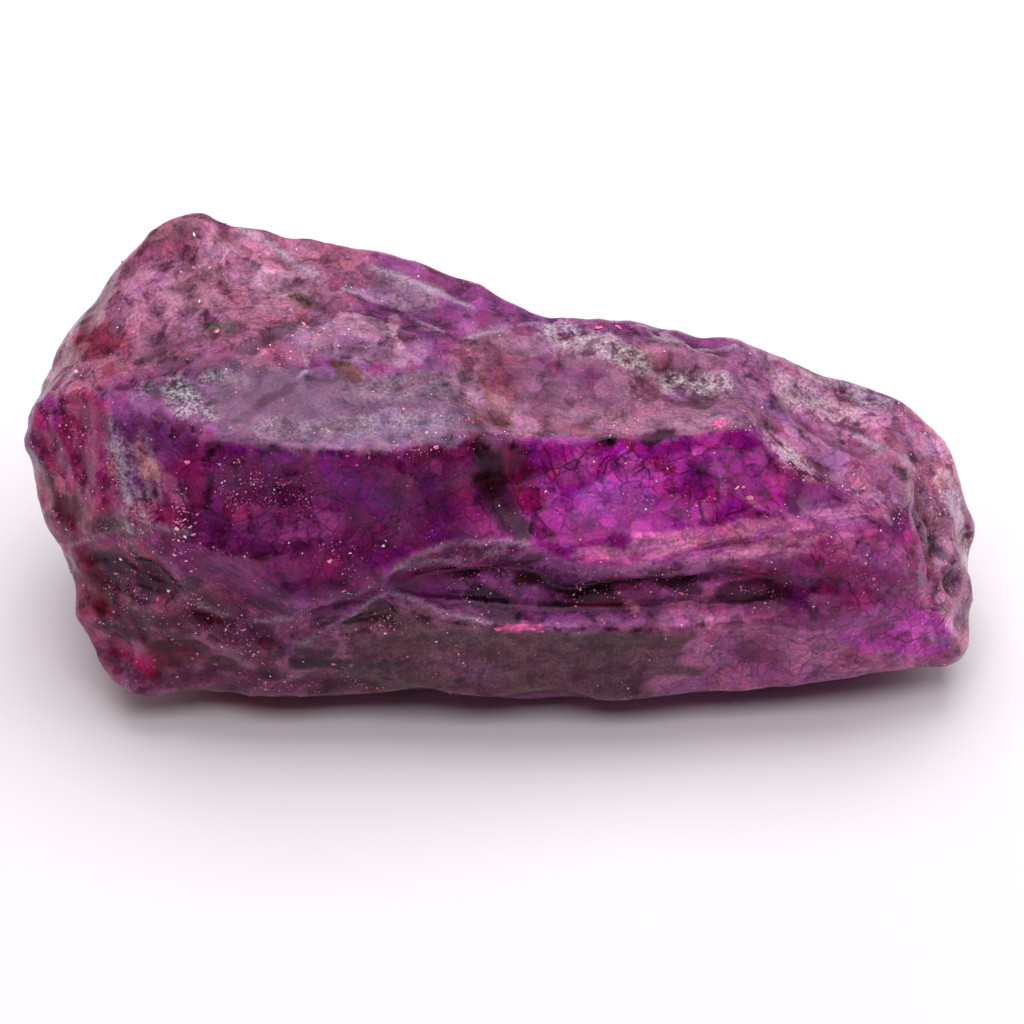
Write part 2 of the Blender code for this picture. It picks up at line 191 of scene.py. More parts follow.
bm = bmesh.new()
bmesh.ops.create_grid(bm, x_segments=8, y_segments=8, size=FLOOR_SIZE / 2)
floor_mesh = bpy.data.meshes.new("floor")
bm.to_mesh(floor_mesh)
bm.free()
floor = bpy.data.objects.new("floor", floor_mesh)
floor.location.z = -FLOOR_DROP
bpy.context.scene.collection.objects.link(floor)
floor_mesh.materials.append(paper_white())
for name, settings in LAMPS.items():
    lamp(name, *settings)
world = bpy.data.worlds.new("dim_room")
world.use_nodes = True
world.node_tree.nodes["Background"].inputs["Color"].default_value = linear(ROOM_COLOUR)
world.node_tree.nodes["Background"].inputs["Strength"].default_value = ROOM_LIGHT
bpy.context.scene.world = world
bpy.context.scene.view_settings.view_transform = "Standard"
print("lamps:", list(LAMPS))

# %% [markdown]
# ## A fine even skin
#
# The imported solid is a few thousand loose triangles.  A copy of it is merged, and a voxel remesh
# covers it in even quads of about a quarter of a millimetre.  That copies the solid's flat
# triangles too, so the facets are then evened: each quad's normal is averaged with those of its
# neighbours that already lean nearly the same way, and the points follow the normals.  A broken
# facet gets smooth that way, and the sharp ridge between two facets stays.

# %% Copy, merge and remesh
SKIN_FACE = 0.25   # mm
SAME_POINT = 1e-6  # metres: points nearer than this are one


def merged_copy(node, name):
    """A new object with the node's triangles merged into one closed mesh."""
    bm = bmesh.new()
    bm.from_mesh(node.data)
    bmesh.ops.remove_doubles(bm, verts=bm.verts, dist=SAME_POINT)
    mesh = bpy.data.meshes.new(name)
    bm.to_mesh(mesh)
    bm.free()
    obj = bpy.data.objects.new(name, mesh)
    bpy.context.scene.collection.objects.link(obj)
    return obj


def settled(obj):
    """Works out the object's modifiers for good and drops them."""
    graph = bpy.context.evaluated_depsgraph_get()
    mesh = bpy.data.meshes.new_from_object(obj.evaluated_get(graph))
    obj.modifiers.clear()
    obj.data = mesh
    return obj


stone = merged_copy(solid, "sapphire_skin")
remesh = stone.modifiers.new("even_quads", "REMESH")
remesh.mode = "VOXEL"
remesh.voxel_size = SKIN_FACE * MM
settled(stone)
print("skin:", len(stone.data.vertices), "points,", len(stone.data.polygons), "quads")

# %% Read the skin as arrays, in millimetres
def points_of(mesh):
    flat = np.empty(len(mesh.vertices) * 3, np.float32)
    mesh.vertices.foreach_get("co", flat)
    return flat.reshape(-1, 3).astype(float) / MM


def quads_of(mesh):
    corners = np.empty(len(mesh.loops), np.int32)
    mesh.loops.foreach_get("vertex_index", corners)
    return corners.reshape(-1, 4)


def unit(vectors):
    return vectors / np.maximum(np.linalg.norm(vectors, axis=-1, keepdims=True), 1e-12)


def quad_normals(points, quads):
    a, b, c, d = (points[quads[:, i]] for i in range(4))
    return unit(np.cross(c - a, d - b))


def gathered(index, values, count):
    """Sums the rows of values that share an index."""
    return np.stack([np.bincount(index, values[:, i], count) for i in range(values.shape[1])], 1)


def point_normals(points, quads):
    normals = quad_normals(points, quads)
    return unit(gathered(quads.ravel(), np.repeat(normals, 4, axis=0), len(points)))


quads = quads_of(stone.data)
points = points_of(stone.data)
sides = np.sort(np.stack([quads, np.roll(quads, -1, axis=1)], 2).reshape(-1, 2), axis=1)
side_key = sides[:, 0] * len(points) + sides[:, 1]
order = np.argsort(side_key, kind="stable")
neighbour_quads = (order // 4).reshape(-1, 2)
edges = sides[order[::2]]
print("skin arrays:", points.shape, quads.shape, "edges:", len(edges))

# %% Even the facets
FACET_SPREAD = 0.30   # how far apart two normals may lean and still be of one facet
NORMAL_ROUNDS = 18
POINT_ROUNDS = 14


def evened_normals(normals):
    """Each quad's normal averaged with its neighbours', less so where they lean apart."""
    one, other = neighbour_quads[:, 0], neighbour_quads[:, 1]
    for _ in range(NORMAL_ROUNDS):
        apart = ((normals[one] - normals[other]) ** 2).sum(1)
        weight = np.exp(-apart / (2 * FACET_SPREAD ** 2))[:, None]
        total = normals + gathered(one, normals[other] * weight, len(normals))
        total += gathered(other, normals[one] * weight, len(normals))
        normals = unit(total)
    return normals


def follow_normals(points, normals):
    """Moves the points until the quads lie as the given normals say."""
    shares = np.bincount(quads.ravel(), minlength=len(points))[:, None]
    for _ in range(POINT_ROUNDS):
        middles = points[quads].mean(1)
        gap = ((middles[:, None] - points[quads]) * normals[:, None]).sum(2)
        moves = gap[:, :, None] * normals[:, None]
        points = points + gathered(quads.ravel(), moves.reshape(-1, 3), len(points)) / shares
    return points


before = points.copy()
points = follow_normals(points, evened_normals(quad_normals(points, quads)))
print("facets evened, largest move", round(float(np.abs(points - before).max()), 3), "mm")

# %% [markdown]
# ## The small relief of broken corundum
#
# Corundum has no easy cleavage, so it breaks in small shells: shallow hollows that meet in crisp
# ridges, each a millimetre or two across, with finer ones inside.  They are made as the lowest of
# many small bowls around scattered middles, since neighbouring bowls then always meet in a ridge
# and never in a gap.  The rough ends carry more of it than the clean facets.  Along some edges a
# thin shell stands proud as a rim, painted pale grey as frost and as a painted highlight, and one
# healed crack runs down the stone as a groove.

# %% Hollows that meet in crisp ridges
def hollow_relief(points, spacing, depth, lean, step, seed):
    """The lowest of the bowls around each point: their middles stray from an even grid."""
    draw = np.random.default_rng(seed)
    cells = np.ceil((HIGH - LOW) / spacing).astype(int) + 6
    stray = draw.uniform(-0.45, 0.45, (*cells, 3))
    leans = np.clip(draw.normal(0.0, lean, (*cells, 3)), -2 * lean, 2 * lean)
    steps = draw.uniform(-0.5, 0.5, cells) * step
    home = np.floor((points - LOW) / spacing).astype(int) + 3
    lowest = np.full(len(points), np.inf)
    for shift in np.ndindex(3, 3, 3):
        cell = tuple((home + np.array(shift) - 1).T)
        middles = LOW + (np.array(cell).T - 3 + 0.5 + stray[cell]) * spacing
        offset = points - middles
        bowl = depth * 4.0 * (offset ** 2).sum(1) / spacing ** 2
        lowest = np.minimum(lowest, bowl + steps[cell] + (leans[cell] * offset).sum(1))
    return lowest - np.median(lowest)


def noise_at(points, size, seed=0.0):
    """Smooth noise from -1 to 1 at each point, with swells of the given size in mm."""
    shift = Vector((seed, seed * 1.7, -seed))
    return np.array([noise.noise(Vector(p) / size + shift) for p in points])


def noise_vectors(points, size):
    return np.array([noise.noise_vector(Vector(p) / size) for p in points])


# Where the stone is broken rough: the two ends of the place, its reach, and how rough it is.
ROUGH_PLACES = {
    "left tip": ((-28.0, 2.0, 16.0), (-26.0, -6.0, 15.0), 4.5, 0.9),
    "lower left": ((-26.0, -7.0, 10.0), (-17.0, -11.5, 6.0), 4.5, 1.0),
    "lobe": ((-20.0, 3.0, 23.0), (-12.0, 4.0, 22.5), 4.5, 0.7),
    "roof": ((-8.0, 1.0, 22.0), (2.0, 2.0, 20.5), 2.8, 0.6),
    "crest": ((4.0, 4.0, 19.5), (13.0, 3.0, 18.5), 2.6, 0.8),
    "right cap": ((27.5, -2.0, 12.0), (28.5, -8.0, 5.0), 3.4, 0.5),
    "back": ((-18.0, 13.0, 12.0), (18.0, 11.0, 8.0), 7.0, 0.9),
    "underside": ((-24.0, 0.0, 1.0), (24.0, 0.0, 0.0), 5.0, 0.9),
}
CLEAN = 0.30                # how much of the relief shows on the clean facets
ROUGH_BORDER = (0.4, 1.3)   # a rough place fades out between these shares of its reach
WANDER = ((1.9, 0.30), (0.6, 0.12))  # mm from one sway of a border to the next, and how far


def distance_to_line(points, line):
    """How far each point is from a line given by its corners, in mm."""
    nearest = np.full(len(points), np.inf)
    corners = [on_stone(corner) for corner in line]
    for start, end in zip(corners, corners[1:]):
        along = end - start
        share = np.clip((points - start) @ along / max(along @ along, 1e-9), 0.0, 1.0)
        gap = points - start - share[:, None] * along
        nearest = np.minimum(nearest, np.sqrt((gap ** 2).sum(1)))
    return nearest


def eased(low, high, values):
    share = np.clip((values - low) / (high - low), 0.0, 1.0)
    return share * share * (3.0 - 2.0 * share)


def finish_at(bent, places, softness=0.45):
    share = np.zeros(len(bent))
    for start, end, reach, strength in places.values():
        far = distance_to_line(bent, (start, end)) / reach
        share = np.maximum(share, strength * (1.0 - eased(1.0 - softness, 1.0 + softness, far)))
    return share


rough = np.full(len(points), CLEAN)
for start, end, reach, most in ROUGH_PLACES.values():
    near = 1.0 - eased(*ROUGH_BORDER, distance_to_line(points, (start, end)) / reach)
    rough = np.maximum(rough, CLEAN + (most - CLEAN) * near)
wander = sum(noise_vectors(points, size) * far for size, far in WANDER)
print("rough share of the skin:", round(float((rough > 0.6).mean()), 2))

# %% [markdown]
# ## Where the stone is fuller or smoother
#
# Three things change the broad shape a little before the relief goes on.  Two heels of the foot
# are rounded out.  The deepest hollows are silted up with crumbs, so there the skin rises most of
# the way to an evened copy of itself.  A few places broke smooth, and the skin is evened there.

# %% Heels, silt and smooth places
SWELLS = {
    # middle and reach in mm, and how far the skin is pushed out there in mm
    "left heel": ((-24.6, -9.2, 5.9), 2.2, (-1.00, -0.45, -0.50)),
    "left foot": ((-23.0, -10.6, 4.2), 2.2, (-0.95, -0.40, -0.55)),
}
SILT_ROUNDS = 300                  # of evening, which reach over about 3 mm
SILT_FROM, SILT_FULL = 0.05, 0.60  # mm: how deep a hollow is where silt begins, and where it is full
SILT_SHARE = 0.92                  # of the depth that is filled there
SILT_BORDER_ROUNDS = 6
LEVELLED = {
    # start, end, reach in mm, and the share of the roughness that is levelled
    "lavender border": ((-13.4, -1.0, 21.8), (-12.4, -6.2, 21.2), 1.6, 0.9),
    "lavender top": ((-13.0, -2.4, 21.5), (-4.0, -2.0, 21.2), 1.5, 0.8),
    "lower left": ((-24.0, -9.2, 8.5), (-17.5, -11.4, 5.8), 3.2, 0.45),
    "left hollow": ((-25.5, -7.4, 12.6), (-21.5, -9.6, 13.2), 1.6, 0.3),
    "apron": ((-12.0, -12.2, 6.0), (12.0, -12.2, 6.5), 2.2, 0.6),
}
LEVEL_ROUNDS = 120


def smoothed(values, rounds):
    """Each point's value averaged with its neighbours', over and over."""
    count = len(values)
    shares = np.bincount(edges.ravel(), minlength=count)[:, None]
    for _ in range(rounds):
        total = gathered(edges[:, 0], values[edges[:, 1]], count)
        total += gathered(edges[:, 1], values[edges[:, 0]], count)
        values = total / shares
    return values


def swollen(points):
    """The skin with its heels rounded out."""
    for middle, reach, push in SWELLS.values():
        near = np.exp(-(((points - middle) / reach) ** 2).sum(1))
        points = points + near[:, None] * np.array(push)
    return points


def silted(points):
    """The skin with its deepest hollows filled most of the way, up to the evened skin."""
    even = smoothed(points, SILT_ROUNDS)
    sunk = ((even - points) * point_normals(points, quads)).sum(1)
    share = smoothed(eased(SILT_FROM, SILT_FULL, sunk)[:, None], SILT_BORDER_ROUNDS) * SILT_SHARE
    return points + (even - points) * share


def levelled(points):
    """The skin evened in the places that broke smooth."""
    share = finish_at(points, LEVELLED)[:, None]
    return points + (smoothed(points, LEVEL_ROUNDS) - points) * share


smooth_points = points
points = levelled(silted(swollen(points)))
print("skin moved by up to", round(float(np.abs(points - smooth_points).max()), 2), "mm")

# %% Shells, rims and the healed crack
ROUGH_GRAIN, ROUGH_GRAIN_HEIGHT = 0.55, 0.03  # mm across and mm high
SHELLS = (
    # spacing in mm, depth of a bowl in mm, lean as a slope, step between bowls in mm
    (2.4, 0.13, 0.06, 0.08),
    (1.15, 0.055, 0.08, 0.04),
)

LINE_WAVER = 0.5  # of the wander: how far rims and grooves sway
RIMS = {
    # thin proud rims: the corners, height and half width in mm, and how pale the rim is painted, as
    # frost and painted highlight
    "lobe stripe": (((241, 228), (262, 239), (286, 256), (312, 274)), 0.06, 0.27, 0.8),
    "back rim": (((344, 290), (370, 300), (401, 312), (440, 332)), 0.10, 0.13, 0.8),
    "blue flake rim": (((372, 269), (400, 276), (439, 293), (470, 307)), 0.06, 0.24, 0.7),
    "saddle rim": (((469, 339), (500, 329), (540, 322), (580, 329)), 0.07, 0.13, 0.6),
    "scoop rim": (((559, 345), (600, 350), (640, 362), (666, 385), (9.6, -1.7, 18.9)), 0.08, 0.14, 0.5),
    "crest rim": (((645, 328), (670, 343), (701, 350), (735, 347)), 0.10, 0.14, 0.8),
    "s ridge": (((735, 347), (15.6, 3.6, 17.0), (780, 375), (805, 404), (835, 425), (860, 438),
        (904, 463)), 0.14, 0.16, 0.9),
    "far rim": (((800, 366), (830, 379), (860, 393), (890, 401)), 0.08, 0.16, 0.6),
    "lip": (((385, 576), (413, 556), (444, 544), (495, 541), (529, 546)), 0.12, 0.16, 0.35),
    "right lip": (((529, 546), (565, 561), (603, 569), (640, 567), (703, 557), (765, 559),
        (796, 553)), 0.07, 0.14, 0.2),
    "lens rim": (((300, 645), (339, 622), (389, 590), (420, 603), (453, 615),
        (490, 622)), 0.10, 0.16, 0.5),
    "left band": (((108, 385), (112, 420), (121, 460), (128, 500), (129, 531)), 0.08, 0.16, 0.7),
    "left band b": (((133, 401), (149, 440), (160, 490), (169, 531)), 0.06, 0.13, 0.5),
    "s curl": (((-12.9, 0.0, 21.6), (-12.4, -0.8, 21.7), (-12.0, -1.9, 21.7),
        (298, 380)), 0.10, 0.13, 0.9),
    "end crease": (((905, 455), (909, 491), (913, 529), (918, 571), (927, 610),
        (931, 639)), 0.07, 0.14, 0.6),
    "ledge": (((70, 545), (100, 535), (131, 527), (160, 527), (190, 532)), 0.06, 0.16, 0.4),
    "striated foot": (((199, 604), (215, 612), (264, 621), (291, 618)), 0.07, 0.16, 0.5),
}
GROOVES = {
    # the corners, and the depth and half width in mm
    "healed crack, roof": (((469, 339), (471, 365), (472, 390), (474, 415), (477, 440)), 0.12, 0.11),
    "healed crack, front": (((477, 440), (483, 466), (491, 490), (500, 515), (519, 540)), 0.05, 0.14),
}


def relieved(points):
    """The skin with its shells, rims and grooves, and how much of a rim each point is."""
    wandering = points + wander
    height = sum(
        hollow_relief(wandering, spacing, depth, lean, step, SEED + i)
        for i, (spacing, depth, lean, step) in enumerate(SHELLS)) * rough
    height += noise_at(points, ROUGH_GRAIN, 3.0) * ROUGH_GRAIN_HEIGHT * rough
    rim = np.zeros(len(points))
    wavering = points + LINE_WAVER * wander
    for line, rise, half_width, frost_and_sheen in RIMS.values():
        near = np.exp(-(distance_to_line(wavering, line) / half_width) ** 2)
        height += rise * near
        rim = np.maximum(rim, frost_and_sheen * near)
    for line, depth, half_width in GROOVES.values():
        height -= depth * np.exp(-(distance_to_line(wavering, line) / half_width) ** 2)
    return points + point_normals(points, quads) * height[:, None], rim


points, rim = relieved(points)
points = np.clip(points, LOW, HIGH)
stone.data.vertices.foreach_set("co", (points * MM).astype(np.float32).ravel())
stone.data.update()
for polygon in stone.data.polygons:
    polygon.use_smooth = True
print("relief from", round(float((points - smooth_points).min()), 2), "to",
      round(float((points - smooth_points).max()), 2), "mm")

# %% [markdown]
# ## Edges painted pale and hollows painted dark
#
# Sharp edges of a broken stone are painted pale, partly as bruising and partly as a painted
# highlight, and hollows are painted dark, as painted shade with the dark mineral dust.  Both
# follow from the shape alone: a point that stands above the skin around it is an edge, and one
# that lies below it is a hollow.  The skin around it is the same skin, smoothed.

# %% Edges and hollows from the shape
NEAR_ROUNDS, FAR_ROUNDS = 8, 80  # of evening, for the skin close around and further around
EDGE_RISE = (0.02, 0.10)         # mm: none at the first, a full edge at the second
PIT_DEPTH, BASIN_DEPTH = (0.01, 0.07), (0.08, 0.45)  # mm, for small and for wide hollows
normals = point_normals(points, quads)
near_height = ((points - smoothed(points, NEAR_ROUNDS)) * normals).sum(1)
far_height = ((points - smoothed(points, FAR_ROUNDS)) * normals).sum(1)
# Edges get pale paint, partly bruising and partly a painted highlight.
edge = eased(*EDGE_RISE, near_height)
# Hollows get painted shade, darker the deeper they lie, with the dark mineral dust.
hollow = np.clip(eased(*PIT_DEPTH, -near_height) + eased(*BASIN_DEPTH, -far_height), 0.0, 1.0)
print("edge share:", round(float(edge.mean()), 3), "hollow share:", round(float(hollow.mean()), 3))

# %% [markdown]
# ## Patches of colour
#
# The body colour of rough sapphire runs in patches: violet and magenta zones that grew from
# different melts, rose ones where iron came in, and black to olive nests of other minerals.  They
# are part of the stone, so each patch has a place on it: a short line, how far it reaches around
# that line, a colour from the palette, and how strongly it covers what lies under it.  The patches
# are laid one over the other with wavering borders.

# %% The palette: the minerals' own colours, before any light falls on them, and one white that also paints sheen and glints
PALETTE = {
    "black": "#070505", "garnet_black": "#1C0606", "plum_black": "#340828", "umber": "#380C08",
    "bronze": "#56340E", "olive": "#3C3C14", "olive_grey": "#4E5240", "cocoa": "#4E282E",
    "brown_grey": "#7A5654", "clay": "#B46A62",
    "ox_blood": "#580806", "dark_maroon": "#480A22", "maroon": "#641C34", "maroon_brown": "#58283E",
    "brick": "#7C2236", "wine": "#580632", "crimson": "#8A0F4A", "raspberry": "#96205F",
    "cerise": "#B41264", "faded_crimson": "#883C54",
    "deep_plum": "#4A0A42", "deep_violet": "#560C56", "plum": "#701E5C", "violet": "#6A0C66",
    "bright_violet": "#781478", "indigo_violet": "#6A2E78", "dark_magenta": "#841A66",
    "magenta": "#961486", "soft_magenta": "#8E3278", "rose_magenta": "#9C3E80",
    "fuchsia": "#B436A0", "orchid": "#B44CB6",
    "dusty_rose": "#985A76", "faded_rose": "#8E4A72", "rose": "#A65C8C", "light_rose": "#B8849E",
    "rose_grey": "#92667C", "mauve": "#925F86", "pale_mauve": "#9E7A92",
    "dusk": "#70405A", "grey_plum": "#644C62", "lavender": "#7E6684", "grey": "#847680",
    "pale_rose": "#DCA4B8", "salmon": "#E466B2", "hot_pink": "#E060A4", "frost_and_sheen_white": "#E6D8DC",
}

# %% Ground colours, from the largest patches down
GROUNDS = {
    # name: (start, end, reach in mm, colour, strength)
    "left_rose": ((-30.0, 4.0, 16.0), (-16.0, 6.0, 22.0), 7.5, "dusty_rose", 1.0),
    "left_low": ((-26.0, -6.0, 10.0), (-18.0, -11.0, 5.0), 6.5, "faded_crimson", 1.0),
    "violet_front": ((-17.0, -9.5, 17.0), (-3.0, -9.5, 16.5), 5.0, "plum", 1.0),
    "lavender_roof": ((-15.0, -4.5, 21.5), (-3.0, -4.5, 21.0), 3.0, "grey_plum", 1.0),
    "magenta_front": ((3.0, -7.5, 16.5), (17.0, -7.5, 16.0), 4.5, "magenta", 1.0),
    "mauve_roof": ((1.0, -1.0, 20.0), (14.0, -1.0, 19.0), 4.5, "rose_grey", 1.0),
    "right_roof": ((17.0, 1.0, 16.5), (24.0, -2.0, 14.5), 4.5, "mauve", 1.0),
    "right_front": ((18.0, -8.5, 14.0), (24.5, -8.5, 11.0), 4.0, "dark_magenta", 1.0),
    "apron": ((-10.0, -12.0, 6.5), (10.0, -12.0, 6.5), 4.4, "cocoa", 1.0),
    "apron_right": ((13.0, -12.0, 7.0), (24.0, -11.0, 6.5), 4.6, "rose", 1.0),
    "apron_left": ((-22.0, -11.0, 6.0), (-13.0, -12.0, 6.5), 3.5, "dusk", 1.0),
    "end_cap": ((27.0, -2.0, 13.0), (29.0, -6.0, 5.0), 4.0, "rose_grey", 1.0),
    "back_violet": ((-16.0, 13.0, 10.0), (-4.0, 12.0, 9.0), 6.0, "indigo_violet", 0.9),
    "back_rose": ((2.0, 11.0, 14.0), (12.0, 10.0, 12.0), 5.0, "faded_rose", 0.9),
    "back_magenta": ((14.0, 10.0, 7.0), (22.0, 8.0, 6.0), 5.0, "soft_magenta", 0.9),
    "back_dusky": ((-24.0, 10.0, 8.0), (-18.0, 11.0, 4.0), 4.0, "maroon_brown", 0.9),
    "under_grey": ((-14.0, 0.0, 0.0), (14.0, 0.0, 0.0), 7.0, "grey_plum", 0.8),
}

